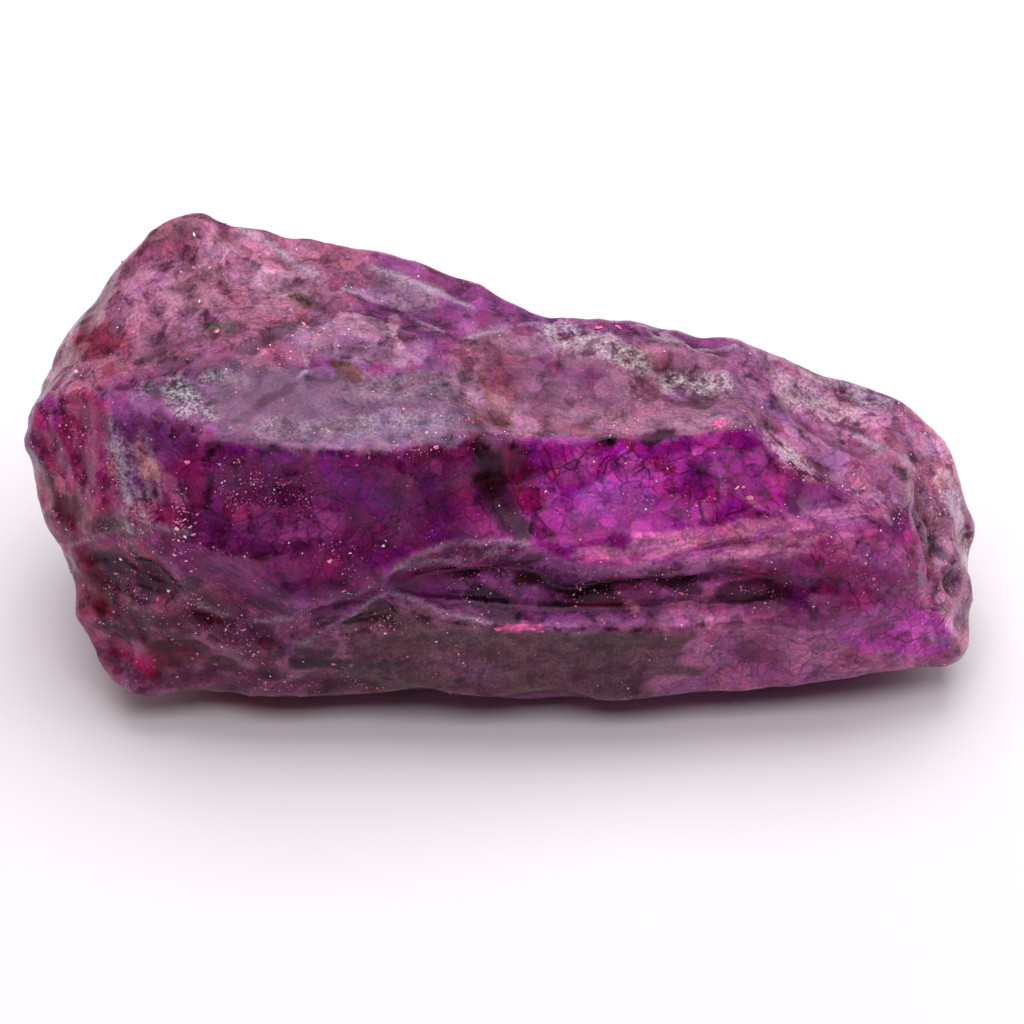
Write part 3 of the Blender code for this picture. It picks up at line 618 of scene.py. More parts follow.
# %% Single patches and nests of other minerals
PATCHES = {
    # name: (start and end as pixels of the picture, reach in mm, colour, strength)
    "left_tip_magenta": ((62, 430), (90, 470), 2.5, "raspberry", 0.9),
    "left_tip_brown": ((80, 350), (112, 338), 1.3, "brick", 0.8),
    "left_tip_violet": ((58, 388), (48, 415), 0.9, "fuchsia", 0.7),
    "left_tip_crimson": ((80, 415), (100, 430), 0.9, "raspberry", 0.7),
    "left_rim_dark": ((42, 462), (62, 512), 0.6, "black", 0.8),
    "left_ledge_mauve": ((95, 500), (165, 518), 0.7, "raspberry", 0.8),
    "under_ledge_crimson": ((75, 545), (150, 535), 0.6, "raspberry", 0.8),
    "black_hollow": ((112, 560), (150, 588), 1.3, "garnet_black", 0.9),
    "maroon_low": ((88, 570), (100, 600), 1.0, "ox_blood", 0.8),
    "brown_low": ((120, 620), (165, 635), 1.4, "umber", 0.8),
    "grey_low_left": ((140, 588), (178, 600), 0.6, "dusk", 0.7),
    "crimson_low": ((160, 655), (210, 655), 0.9, "ox_blood", 0.8),
    "magenta_rim_low": ((112, 640), (150, 670), 0.6, "cerise", 0.7),
    "violet_low": ((240, 630), (262, 655), 1.1, "dark_maroon", 0.8),
    "olive_low": ((208, 652), (216, 658), 0.4, "black", 0.9),
    "magenta_foot": ((190, 680), (290, 688), 0.5, "wine", 0.7),
    "lobe_pink": ((150, 300), (270, 330), 3.0, "dusty_rose", 0.8),
    "lobe_rose": ((220, 250), (290, 285), 1.3, "light_rose", 0.8),
    "lobe_top_dusky": ((160, 235), (195, 222), 0.6, "brown_grey", 0.8),
    "lobe_light": ((260, 300), (285, 310), 1.0, "pale_mauve", 0.8),
    "lobe_left_rose": ((130, 290), (170, 270), 0.9, "mauve", 0.7),
    "dusky_left": ((145, 345), (190, 370), 1.3, "dusk", 0.8),
    "blue_grey_left": ((150, 388), (192, 392), 0.7, "black", 0.85),
    "brown_vein_lobe": ((180, 352), (235, 345), 0.4, "dusty_rose", 0.8),
    "brown_vein_roof": ((240, 350), (300, 325), 0.5, "garnet_black", 0.8),
    "olive_lobe_a": ((296, 298), (310, 304), 0.6, "bronze", 1.0),
    "olive_lobe_b": ((210, 325), (228, 328), 0.5, "olive", 0.95),
    "olive_lobe_c": ((338, 365), (352, 376), 0.7, "bronze", 0.95),
    "olive_lobe_d": ((250, 261), (258, 264), 0.3, "black", 0.9),
    "roof_rose": ((320, 335), (400, 345), 1.7, "pale_mauve", 0.8),
    "rust_vein_roof": ((390, 315), (398, 350), 0.3, "pale_rose", 0.7),
    "maroon_wedge": ((236, 420), (292, 388), 0.3, "garnet_black", 0.8),
    "maroon_streak": ((395, 388), (440, 372), 0.3, "wine", 0.7),
    "blue_flake": ((355, 288), (420, 300), 1.1, "pale_mauve", 0.9),
    "blue_flake_b": ((380, 280), (440, 290), 0.5, "grey", 0.6),
    "pink_edge_flake": ((340, 316), (440, 330), 0.3, "pale_rose", 0.6),
    "rust_seam": ((474, 350), (478, 425), 0.3, "bronze", 0.8),
    "rose_right_of_seam": ((492, 372), (500, 420), 0.9, "brown_grey", 0.8),
    "brown_band": ((484, 445), (518, 530), 1.0, "garnet_black", 0.75),
    "olive_band": ((480, 451), (491, 489), 0.5, "garnet_black", 1.0),
    "crimson_right_of_band": ((508, 460), (525, 520), 1.0, "garnet_black", 0.9),
    "violet_cell_a": ((195, 460), (215, 485), 0.9, "dark_magenta", 0.8),
    "maroon_vein": ((214, 440), (206, 502), 0.3, "garnet_black", 0.8),
    "magenta_cell_b": ((250, 522), (330, 525), 1.1, "rose_magenta", 0.9),
    "magenta_cell_c": ((320, 550), (345, 552), 0.9, "plum", 0.8),
    "maroon_spot": ((254, 553), (264, 556), 0.4, "maroon", 0.7),
    "violet_cell_d": ((340, 465), (370, 490), 1.3, "bright_violet", 0.8),
    "violet_cell_e": ((235, 445), (290, 455), 0.8, "bright_violet", 0.7),
    "violet_right": ((415, 490), (455, 540), 1.4, "deep_violet", 0.8),
    "magenta_top_violet": ((420, 450), (465, 445), 0.8, "wine", 0.7),
    "indigo_low": ((380, 562), (410, 555), 0.8, "violet", 0.8),
    "indigo_bottom": ((285, 592), (345, 590), 0.7, "deep_plum", 0.8),
    "striated_grey": ((200, 560), (275, 605), 0.7, "plum", 0.8),
    "lens_dark": ((318, 617), (380, 607), 0.3, "black", 1.0),
    "recess_violet": ((410, 592), (455, 600), 0.8, "violet", 0.9),
    "recess_maroon": ((478, 592), (505, 612), 0.9, "black", 0.9),
    "recess_black": ((520, 572), (600, 590), 1.0, "garnet_black", 1.0),
    "recess_red": ((575, 604), (620, 600), 0.6, "brick", 0.8),
    "recess_pink": ((618, 590), (634, 608), 0.4, "pale_rose", 0.9),
    "recess_violet_b": ((655, 575), (705, 585), 0.7, "garnet_black", 0.9),
    "recess_dark_right": ((725, 588), (800, 590), 1.0, "plum_black", 0.9),
    "apron_grey": ((400, 645), (690, 655), 2.0, "cocoa", 0.9),
    "apron_green": ((600, 640), (682, 640), 1.0, "umber", 0.8),
    "apron_mauve": ((440, 660), (500, 680), 0.9, "dusk", 0.7),
    "apron_violet": ((705, 650), (790, 655), 1.5, "rose", 0.9),
    "apron_right": ((860, 625), (935, 635), 1.7, "fuchsia", 0.9),
    "apron_right_bright": ((868, 645), (900, 630), 0.8, "fuchsia", 0.5),
    "apron_right_violet": ((800, 600), (850, 610), 0.9, "deep_violet", 0.7),
    "triangle_dark": ((312, 662), (385, 682), 0.4, "black", 1.0),
    "rose_foot_right": ((760, 672), (830, 676), 0.6, "rose", 0.6),
    "hot_pink_streak": ((496, 628), (536, 627), 0.3, "hot_pink", 1.0),
    "pink_crumb_low": ((612, 633), (622, 636), 0.2, "umber", 0.9),
    "block_magenta": ((545, 500), (700, 485), 2.7, "magenta", 1.0),
    "block_bright": ((592, 505), (645, 480), 1.3, "orchid", 0.9),
    "block_bright_low": ((560, 545), (625, 530), 1.0, "dark_magenta", 0.5),
    "block_pink_cell": ((565, 472), (585, 462), 0.8, "rose_magenta", 0.8),
    "block_left_rose": ((512, 460), (530, 500), 0.8, "crimson", 0.8),
    "block_crimson": ((655, 478), (690, 465), 1.0, "fuchsia", 0.85),
    "block_violet": ((700, 478), (735, 468), 1.0, "violet", 0.85),
    "block_right_magenta": ((735, 455), (770, 500), 1.0, "magenta", 0.8),
    "black_violet_a": ((600, 440), (608, 443), 0.4, "black", 1.0),
    "black_violet_b": ((648, 436), (668, 434), 0.4, "black", 1.0),
    "black_violet_c": ((625, 440), (632, 443), 0.3, "crimson", 0.8),
    "violet_below_shoulder": ((500, 436), (600, 438), 0.3, "black", 0.7),
    "salmon_band": ((640, 542), (800, 528), 0.6, "salmon", 0.9),
    "salmon_low": ((590, 555), (660, 552), 0.4, "salmon", 0.7),
    "grey_in_band": ((765, 562), (835, 552), 0.4, "rose_magenta", 0.8),
    "front_right_pink": ((800, 500), (890, 520), 1.3, "deep_violet", 0.8),
    "front_right_rose": ((850, 545), (900, 560), 0.9, "rose", 0.7),
    "roof_mauve": ((510, 380), (640, 385), 1.8, "dusk", 0.8),
    "roof_magenta": ((540, 362), (595, 375), 0.6, "plum", 0.7),
    "roof_green": ((625, 352), (665, 378), 0.8, "brown_grey", 0.8),
    "roof_green_dark": ((632, 348), (640, 354), 0.4, "olive_grey", 0.7),
    "roof_lavender": ((680, 400), (745, 418), 0.9, "mauve", 0.7),
    "roof_right_rose": ((780, 430), (880, 470), 1.4, "mauve", 0.8),
    "rim_rose_right": ((760, 352), (840, 392), 0.6, "dusty_rose", 0.7),
    "pink_at_shoulder": ((717, 424), (772, 438), 0.3, "hot_pink", 0.9),
    "end_pale": ((920, 420), (955, 470), 1.7, "light_rose", 0.9),
    "end_grey": ((945, 480), (965, 560), 0.9, "frost_and_sheen_white", 0.8),
    "end_pit_a": ((930, 490), (940, 510), 0.4, "rose_grey", 0.95),
    "end_pit_b": ((932, 540), (950, 560), 0.4, "black", 0.95),
    "end_pit_c": ((924, 598), (930, 606), 0.3, "salmon", 0.9),
    "end_olive": ((897, 466), (906, 478), 0.3, "olive", 0.9),
    "end_indigo": ((936, 642), (948, 640), 0.4, "mauve", 0.9),
    "end_rose_low": ((940, 600), (965, 640), 0.6, "pale_rose", 0.8),
    "olive_band_low": ((500, 505), (522, 532), 0.6, "black", 0.9),
    "black_at_seam": ((481, 462), (490, 482), 0.3, "black", 0.95),
    "grey_band": ((142, 385), (152, 470), 0.8, "clay", 0.7),
    "grey_band_b": ((168, 480), (182, 500), 0.5, "rose", 0.7),
    "orange_left": ((62, 502), (78, 510), 0.5, "ox_blood", 0.7),
    "crimson_left_hollow": ((92, 526), (125, 530), 0.5, "ox_blood", 0.85),
    "olive_left": ((132, 556), (160, 566), 0.6, "black", 0.95),
    "brown_left": ((98, 606), (112, 612), 0.6, "brick", 0.7),
    "crimson_pool": ((152, 642), (168, 646), 0.6, "umber", 0.85),
    "brown_pool": ((116, 628), (128, 634), 0.6, "brick", 0.85),
    "violet_left_low": ((240, 624), (256, 632), 0.8, "violet", 0.8),
    "black_left_low": ((206, 652), (216, 656), 0.4, "black", 0.95),
    "plum_low": ((260, 672), (275, 676), 0.5, "black", 0.85),
    "crimson_wedge": ((296, 664), (395, 668), 0.5, "black", 0.95),
    "crimson_wedge_b": ((300, 652), (330, 655), 0.4, "black", 0.85),
    # a painted glint: a small pale patch where the lamps glint
    "painted_glint_left": ((162, 588), (182, 596), 0.3, "frost_and_sheen_white", 0.7),
    "pink_left_tip": ((80, 400), (105, 412), 0.6, "crimson", 0.8),
    "magenta_pool_left": ((88, 455), (110, 470), 0.6, "cerise", 0.8),
    "block_cell_a": ((628, 456), (640, 468), 0.6, "orchid", 0.8),
    "block_cell_b": ((612, 470), (618, 478), 0.5, "fuchsia", 0.8),
    "block_cell_c": ((560, 500), (572, 506), 0.6, "fuchsia", 0.8),
    "block_cell_d": ((585, 520), (620, 522), 0.6, "magenta", 0.8),
    "block_maroon": ((655, 460), (670, 470), 0.4, "crimson", 0.8),
    "maroon_right_of_band": ((515, 440), (528, 470), 0.6, "wine", 0.8),
    "mauve_lip": ((400, 562), (500, 545), 0.3, "deep_plum", 0.8),
    "recess_crimson_deep": ((540, 600), (570, 606), 0.5, "black", 0.9),
    "recess_magenta_glow": ((625, 578), (650, 582), 0.5, "deep_plum", 0.8),
    "lavender_grey_a": ((300, 412), (345, 425), 0.9, "grey_plum", 0.7),
    "lavender_grey_b": ((380, 425), (440, 412), 0.8, "lavender", 0.7),
    "grey_flake_left": ((216, 372), (246, 380), 0.6, "grey", 0.75),
    "lavender_wedge": ((240, 412), (318, 436), 0.6, "grey_plum", 0.6),
    "under_lip": ((436, 574), (535, 560), 0.4, "plum_black", 0.9),
    "lowl_dark_a": ((150, 575), (190, 585), 0.6, "garnet_black", 0.85),
    "lowl_dark_b": ((190, 615), (225, 628), 0.6, "dark_maroon", 0.8),
    "lowl_dark_c": ((190, 640), (200, 646), 0.4, "umber", 0.9),
    "lowl_dark_d": ((215, 668), (250, 674), 0.4, "dark_maroon", 0.8),
    "lowl_dark_e": ((250, 600), (290, 612), 0.4, "plum_black", 0.7),
    "lowl_brown": ((96, 585), (110, 595), 0.5, "umber", 0.85),
    "lav_edge_a": ((227, 431), (295, 438), 0.8, "grey_plum", 0.85),
    "lav_edge_b": ((297, 438), (385, 441), 0.8, "lavender", 0.85),
    "lav_edge_c": ((385, 440), (457, 432), 0.8, "lavender", 0.85),
    "seam_low": ((492, 462), (522, 528), 0.7, "garnet_black", 0.85),
    "seam_top": ((478, 430), (492, 462), 0.5, "garnet_black", 0.9),
    "lowr_a": ((790, 580), (850, 600), 0.9, "plum", 0.8),
    "lowr_b": ((850, 590), (905, 610), 0.8, "soft_magenta", 0.8),
    "lowr_c": ((760, 612), (840, 622), 0.8, "plum", 0.8),
    "striated_low": ((175, 592), (240, 612), 0.6, "maroon_brown", 0.8),
    "left_edge_low": ((62, 520), (78, 560), 0.5, "maroon", 0.7),
    "lowl_dark_f": ((130, 548), (160, 575), 0.4, "umber", 0.8),
    "lowl_purple": ((220, 632), (280, 650), 0.6, "maroon_brown", 0.75),
    "seam_left_dark": ((479, 478), (502, 530), 0.4, "garnet_black", 0.85),
}
UNMARKED = "#7A3A74"  # the violet that shows between the patches

# %% Lay the patches on, each on its own side of a crease
# Creases run along the stone: the shoulder between roof and front, the lip, and the top of the
# apron.  A patch keeps to its own side of them, so that the facets part in crisp lines.
CREASES = {
    # the corners, and whether the far side of the crease lies behind it as well as above it
    "shoulder": (((-30.0, -2.0, 20.5), (-24.0, -4.6, 20.8), (190, 428), (-12.5, -7.3, 20.9),
        (395, 443), (470, 432), (490, 435), (6.0, -5.0, 18.9), (11.5, -4.2, 18.3), (763, 425),
        (794, 469), (845, 494), (905, 515)), True),
    "lip": (((385, 576), (413, 556), (444, 544), (495, 541), (529, 546), (565, 561), (603, 569),
        (640, 567), (703, 557), (765, 559), (796, 553)), False),
    "apron": (((300, 645), (339, 622), (389, 590), (420, 603), (453, 615), (490, 622), (550, 632),
        (635, 630), (12.0, -11.8, 9.6)), False),
}
CREASE_NEAR = 0.35    # mm: a patch centred nearer than this lies on the crease itself
CREASE_SOFT = 0.12    # mm over which one side gives way to the other
CREASE_WAVER = 0.25   # of the wander
PATCH_SOFT = 0.14     # softness of a patch's border, as a share of its reach
PATCH_WAVER = 1.2     # of the wander
GROUND_WAVE, GROUND_SWAY = 4.5, 0.9  # mm from one sway of a ground's border to the next, and how far


def beyond(points, line, behind):
    """How far each point lies beyond a crease, in mm: above it, and behind it if so asked."""
    line = np.array([on_stone(corner) for corner in line])
    along = points[:, 0]
    height = points[:, 2] - np.interp(along, line[:, 0], line[:, 2])
    if behind:
        height = height + points[:, 1] - np.interp(along, line[:, 0], line[:, 1])
    inside = (along > line[0, 0]) & (along < line[-1, 0])
    return np.where(inside, height, 0.0)


def kept_side(points, sides, middle):
    """1 where a point lies on the same side of every crease as the middle, 0 where it doesn't."""
    share = np.ones(len(points))
    for (line, behind), side in zip(CREASES.values(), sides):
        own = beyond(middle[None], line, behind)[0]
        if abs(own) > CREASE_NEAR:
            share *= np.where(side == 0.0, 1.0, eased(-CREASE_SOFT, CREASE_SOFT, side * np.sign(own)))
    return share


def laid_over(colour, bent, patches, sides):
    """The colour at each point after the patches are laid over it, one after the other."""
    for start, end, reach, mineral, strength in patches.values():
        far = distance_to_line(bent, (start, end)) / reach
        cover = strength * (1.0 - eased(1.0 - PATCH_SOFT, 1.0 + PATCH_SOFT, far))
        cover *= kept_side(bent, sides, (on_stone(start) + on_stone(end)) / 2)
        colour += (np.array(linear(PALETTE[mineral])[:3]) - colour) * cover[:, None]
    return colour


bent = points + wander * PATCH_WAVER
swayed = points + noise_vectors(points, GROUND_WAVE) * GROUND_SWAY + wander
colour = np.tile(np.array(linear(UNMARKED)[:3]), (len(points), 1))
sides = [beyond(points + CREASE_WAVER * wander, line, behind) for line, behind in CREASES.values()]
colour = laid_over(colour, swayed, GROUNDS, sides)
colour = laid_over(colour, bent, PATCHES, sides)
print("patches of colour:", len(GROUNDS) + len(PATCHES))

# %% [markdown]
# ## Where the skin is frosted, crazed, striated and dusty
#
# Six more finishes come in places.  Frost is partly a crust of tiny crystal faces that scatters
# white light and partly painted sheen: the pale veil and glints of the lamps, painted into the
# colour.  Crazing is the net of fine cracks inside the clearest parts.  Striations are the fine
# parallel steps of a growth plane.  Calm places broke clean, and show little of the grain.  Bands
# are streaks along a bevel.  Dust is what clings after the stone was broken.  Each is stored on
# the skin as a number from 0 to 1, which the material reads.

# %% Finishes by place
# Frost and painted sheen: places crusted white, and places where the pale veil and glints of the lamps
# are painted into the colour.
FROST_AND_SHEEN = {
    # name: (start, end, reach in mm, strength)
    "frost_patch": ((173, 383), (184, 407), 0.8, 0.8),
    "frost_patch_b": ((190, 396), (210, 414), 0.6, 0.75),
    "frost_patch_c": ((200, 379), (222, 376), 0.4, 0.5),
    "lavender_edge": ((264, 428), (447, 418), 0.7, 0.30),
    "lavender_back": ((-8.0, -3.2, 21.3), (-3.0, -2.4, 20.9), 1.2, 0.15),
    "pale_band": ((-23.4, -6.2, 18.9), (-22.0, -8.6, 15.8), 1.2, 0.55),
    "crest_frost": ((3.4, 4.2, 19.4), (624, 354), 1.1, 0.85),
    "roof_glint": ((10.6, 0.3, 18.4), (13.6, 0.4, 18.3), 0.8, 0.9),
    "right_frost": ((770, 441), (18.6, -4.6, 16.0), 0.9, 0.9),
    "grey_flake": ((785, 390), (854, 419), 1.3, 0.55),
    "far_flake": ((19.0, 4.6, 15.2), (877, 400), 1.0, 0.5),
    "end_cap": ((27.2, -3.0, 12.4), (968, 602), 2.4, 0.12),
    "scoop": ((569, 339), (643, 362), 0.8, 0.5),
    "lip": ((396, 568), (524, 545), 0.4, 0.25),
    "apron": ((375, 650), (9.0, -12.2, 6.0), 3.0, 0.08),
    "grey_band": ((142, 385), (152, 470), 0.8, 0.35),
    "lobe": ((-21.0, 4.0, 22.6), (-14.0, 5.0, 22.2), 3.6, 0.14),
}
CRAZED = {
    "magenta_block": ((2.5, -7.5, 16.5), (13.5, -7.5, 16.2), 3.4, 1.0),
    "violet_front": ((-17.0, -9.0, 18.0), (-3.0, -9.5, 16.5), 3.4, 0.7),
    "left_tip": ((-27.5, -1.0, 17.5), (-26.0, -6.0, 15.5), 3.0, 0.7),
    "right_front": ((19.0, -8.6, 13.0), (25.0, -9.6, 8.0), 3.2, 0.6),
    "apron_right": ((14.0, -11.8, 7.0), (24.0, -10.8, 7.0), 3.0, 0.45),
    "back": ((-14.0, 12.5, 9.0), (18.0, 9.5, 8.0), 5.0, 0.6),
}
STRIATED = {
    "left_band": ((-23.4, -6.4, 18.6), (-22.2, -8.4, 16.4), 1.4, 0.7),
    "striated_facet": ((-18.6, -10.8, 13.6), (-14.6, -11.5, 11.0), 2.0, 1.0),
    "lavender": ((-8.0, -4.0, 21.2), (-3.2, -3.6, 20.9), 2.2, 0.6),
    "roof": ((7.0, -2.4, 18.9), (15.0, -1.4, 18.2), 2.2, 0.6),
}
CALM = {
    "salmon_bevel": ((5.0, -9.8, 13.8), (18.0, -9.1, 14.4), 1.1, 0.8),
    "left_band": ((-23.4, -6.4, 18.6), (-22.2, -8.4, 16.4), 1.2, 0.8),
    "lavender": ((-14.5, -5.4, 21.3), (-3.2, -4.4, 20.9), 2.3, 1.0),
    "lavender_wide": ((-5.5, -3.6, 21.0), (-3.0, -3.0, 20.8), 1.8, 0.8),
    "bright_cell": ((5.0, -7.8, 16.2), (9.0, -8.2, 15.6), 1.6, 0.6),
    "apron": ((-8.0, -12.2, 7.0), (11.0, -12.2, 6.4), 2.2, 0.6),
    "roof": ((6.0, -2.8, 18.9), (14.0, -1.8, 18.0), 1.8, 0.6),
    "striated_facet": ((-18.6, -10.8, 13.6), (-14.6, -11.5, 11.0), 1.8, 0.6),
}
BANDED = {
    "bevel_left": ((4.6, -9.9, 13.9), (8.3, -9.9, 13.5), 0.5, 0.7),
    "bevel_middle": ((8.3, -9.7, 13.7), (14.4, -9.2, 13.7), 0.9, 1.0),
    "bevel_right": ((14.4, -9.0, 13.9), (18.0, -9.1, 14.5), 1.1, 1.0),
    "bevel_end": ((18.0, -9.0, 14.8), (23.0, -6.3, 14.1), 1.0, 0.7),
    "grey_flake": ((17.6, 2.4, 15.9), (22.5, 0.9, 14.2), 1.5, 0.8),
}
DUSTY = {
    "front_nest": ((225, 475), (290, 499), 1.3, 1.0),
    "front_nest_b": ((216, 470), (241, 505), 0.9, 1.0),
    "corner_nest": ((181, 498), (192, 538), 0.8, 1.0),
    "shoulder": ((400, 445), (462, 440), 0.8, 0.8),
    "shoulder_right": ((717, 423), (772, 438), 0.6, 1.0),
    "block_top": ((599, 463), (699, 501), 1.6, 0.2),
    "right_front": ((770, 439), (801, 470), 1.1, 0.9),
    "lobe": ((240, 381), (329, 330), 1.3, 0.6),
    "crest": ((561, 329), (620, 344), 1.2, 0.7),
    "low_left": ((130, 599), (230, 640), 2.4, 0.7),
    "ledge": ((101, 525), (181, 545), 0.8, 0.8),
    "left_thread": ((-20.2, -9.5, 15.5), (190, 570), 0.35, 1.0),
    "apron_top": ((380, 623), (480, 624), 0.7, 0.8),
    "right_low": ((851, 480), (900, 520), 1.1, 0.6),
    "left_tip": ((-28.4, 2.0, 17.1), (110, 500), 2.6, 0.45),
    "left_knee": ((-22.9, -8.6, 16.6), (-21.8, -9.6, 15.0), 0.9, 1.0),
    "recess": ((-3.0, -10.6, 12.0), (16.0, -10.0, 11.6), 1.6, 0.40),
    "low_front": ((248, 676), (-9.0, -12.2, 4.4), 1.4, 0.5),
    "end_cap": ((27.4, -2.0, 12.8), (29.0, -7.0, 6.0), 1.6, 0.7),
    "healed_crack": ((471, 350), (473, 431), 0.35, 0.9),
    "violet_low": ((330, 545), (350, 570), 0.9, 0.5),
    "right_band": ((821, 539), (879, 574), 0.9, 0.5),
    "back_top": ((-12.0, 9.0, 20.0), (14.0, 8.0, 16.0), 2.0, 0.4),
    "shoulder_line": ((190, 428), (470, 432), 0.35, 0.55),
    "shoulder_line_right": ((490, 435), (763, 425), 0.45, 0.8),
    "frost_line": ((794, 469), (905, 515), 0.5, 0.8),
    "crumb_streak": ((490, 626), (550, 632), 0.45, 1.0),
    "end_rim": ((909, 491), (927, 610), 0.6, 0.7),
}
HEAPED_DUST = 2.4  # how thick the dust lies in those places
SOME_DUST = 0.10   # what clings everywhere
EDGE_DUST = 0.6    # what clings to an edge besides


def store(name, kind, values):
    """Keeps one value for each point of the skin, under a name that the material can read."""
    layer = stone.data.attributes.new(name, kind, "POINT")
    field = "color" if kind == "FLOAT_COLOR" else "value"
    layer.data.foreach_set(field, np.asarray(values, np.float32).ravel())


clumps = eased(0.0, 0.45, noise_at(points, 1.0, 7.0))
strings = 1.0 - eased(0.02, 0.12, np.abs(noise_at(bent, 1.6, 5.0)))
clumps = np.maximum(clumps, strings) * 0.9 + 0.1
dust = np.maximum(finish_at(bent, DUSTY) * HEAPED_DUST, SOME_DUST + EDGE_DUST * edge) * clumps
store("body_colour", "FLOAT_COLOR", np.hstack([colour, np.ones((len(points), 1))]))
FINISHES = {"frost_and_sheen": FROST_AND_SHEEN, "craze": CRAZED, "striae": STRIATED, "bands": BANDED, "calm": CALM}
for name, places in FINISHES.items():
    store(name, "FLOAT", finish_at(bent, places))
for name, values in {"rim": rim, "edge": edge, "hollow": hollow, "dust": dust}.items():
    store(name, "FLOAT", values)
print("finishes stored:", [layer.name for layer in stone.data.attributes if layer.name[0] != "."])

# %% [markdown]
# ## The stone's material
#
# Corundum is glassy, with a refractive index of 1.76, but a fresh break is never polished: its
# finest steps are hundredths of a millimetre wide, so reflections are broad and satin.  The
# colour is read from the patches and then varied as the real stone varies: clouds and grains of
# 1 to 3 mm in which the violet shifts to magenta, dark cracks between them, brown mottling, and
# specks of dust down to a twentieth of a millimetre.  All sizes below are in millimetres.

# %% Violet corundum, freshly broken
CLOUD, GRAIN, SMALL_GRAIN = 4.0, 2.4, 1.15   # mm across
MOTTLE, FINE_MOTTLE = 1.1, 0.20
SPECK = 0.32                                 # mm across a crystal of the frost, or between specks
STRIA = 0.15                                 # mm between growth steps
BAND = 0.50
FACET_LEAN = 0.20                            # how far the broken face of a grain leans, as a slope
STRIA_RUN = (0.795, -0.108, -0.596)
BAND_RUN = (0.97, 0.20, 0.12)
BAND_STOPS = ((0.30, "#6E2C54"), (0.42, "#A85494"), (0.56, "#D48CA8"), (0.70, "#A850A4"))
SPECK_STOPS = (
    (0.0, "#F4E6F0"), (0.22, "#F0A8CC"), (0.50, "#D84C9A"), (0.74, "#B0643C"), (0.86, "#22101C"))
CORUNDUM_IOR = 1.76
SHEEN = "#FFB4F0"                        # what the violet inside lends to the reflections
VIOLET_CRACK, RUSTY_CRACK = "#200A3C", "#4A0E1C"
BROWN_MOTTLE, SHADE_AND_DUST = "#8A4A50", "#7A2440"
# pale paint on edges (bruising and painted highlight), frost with painted sheen, painted rim highlight
WORN_EDGE_HIGHLIGHT, FROST_AND_SHEEN_WHITE, RIM_HIGHLIGHT_GREY = "#C878A8", "#CCD2CE", "#BCB4C4"
GRAIN_TINTS = (
    # the draw and its channel, where the tint sets in, its most, and the tint that is multiplied in
    ("grain", "Red", 0.35, 0.50, "#B8A4E4"),
    ("small", "Red", 0.60, 0.65, "#E07C9C"),
    ("grain", "Blue", 0.60, 0.45, "#D86C94"),
)
CLOUD_SPREAD = {"From Min": 0.3, "From Max": 0.7}  # where most of the cloud noise lies
SWAY_SCALE, SWAY = 0.7, 0.8              # per mm, and mm to either side


def set_stops(node, stops):
    """Gives a colour ramp its stops."""
    elements = node.color_ramp.elements
    while len(elements) < len(stops):
        elements.new(0.5)
    for element, (at, code) in zip(elements, stops):
        element.position, element.color = at, linear(code)


def drawn_out(tree, mm, bent, run, keep):
    """Places squeezed along a direction, so that a pattern read there is drawn out into streaks."""
    along = add(tree, "ShaderNodeVectorMath", {0: bent, 1: run}, operation="DOT_PRODUCT")
    back = add(tree, "ShaderNodeVectorMath", {0: run, "Scale": along.outputs["Value"]},
               operation="SCALE")
    back = add(tree, "ShaderNodeVectorMath", {0: back.outputs["Vector"], "Scale": 1.0 - keep},
               operation="SCALE")
    return add(tree, "ShaderNodeVectorMath", {0: mm, 1: back.outputs["Vector"]},
               operation="SUBTRACT").outputs["Vector"]


def crack(tree, where, bent, size, width, seen):
    """Cracks along the borders of the grains of this size, shown only in some places."""
    edge = add(tree, "ShaderNodeTexVoronoi", {"Vector": bent, "Scale": 1 / size},
               feature="DISTANCE_TO_EDGE")
    line = add(tree, "ShaderNodeMapRange", {
        "Value": edge.outputs["Distance"], "From Max": width / size, "To Min": 1.0, "To Max": 0.0},
        interpolation_type="SMOOTHSTEP")
    shown = add(tree, "ShaderNodeMapRange", {
        "Value": where.outputs["Fac"], "From Min": seen, "From Max": seen + 0.14})
    return add(tree, "ShaderNodeMath", {0: line.outputs["Result"], 1: shown.outputs["Result"]},
               operation="MULTIPLY").outputs["Value"]


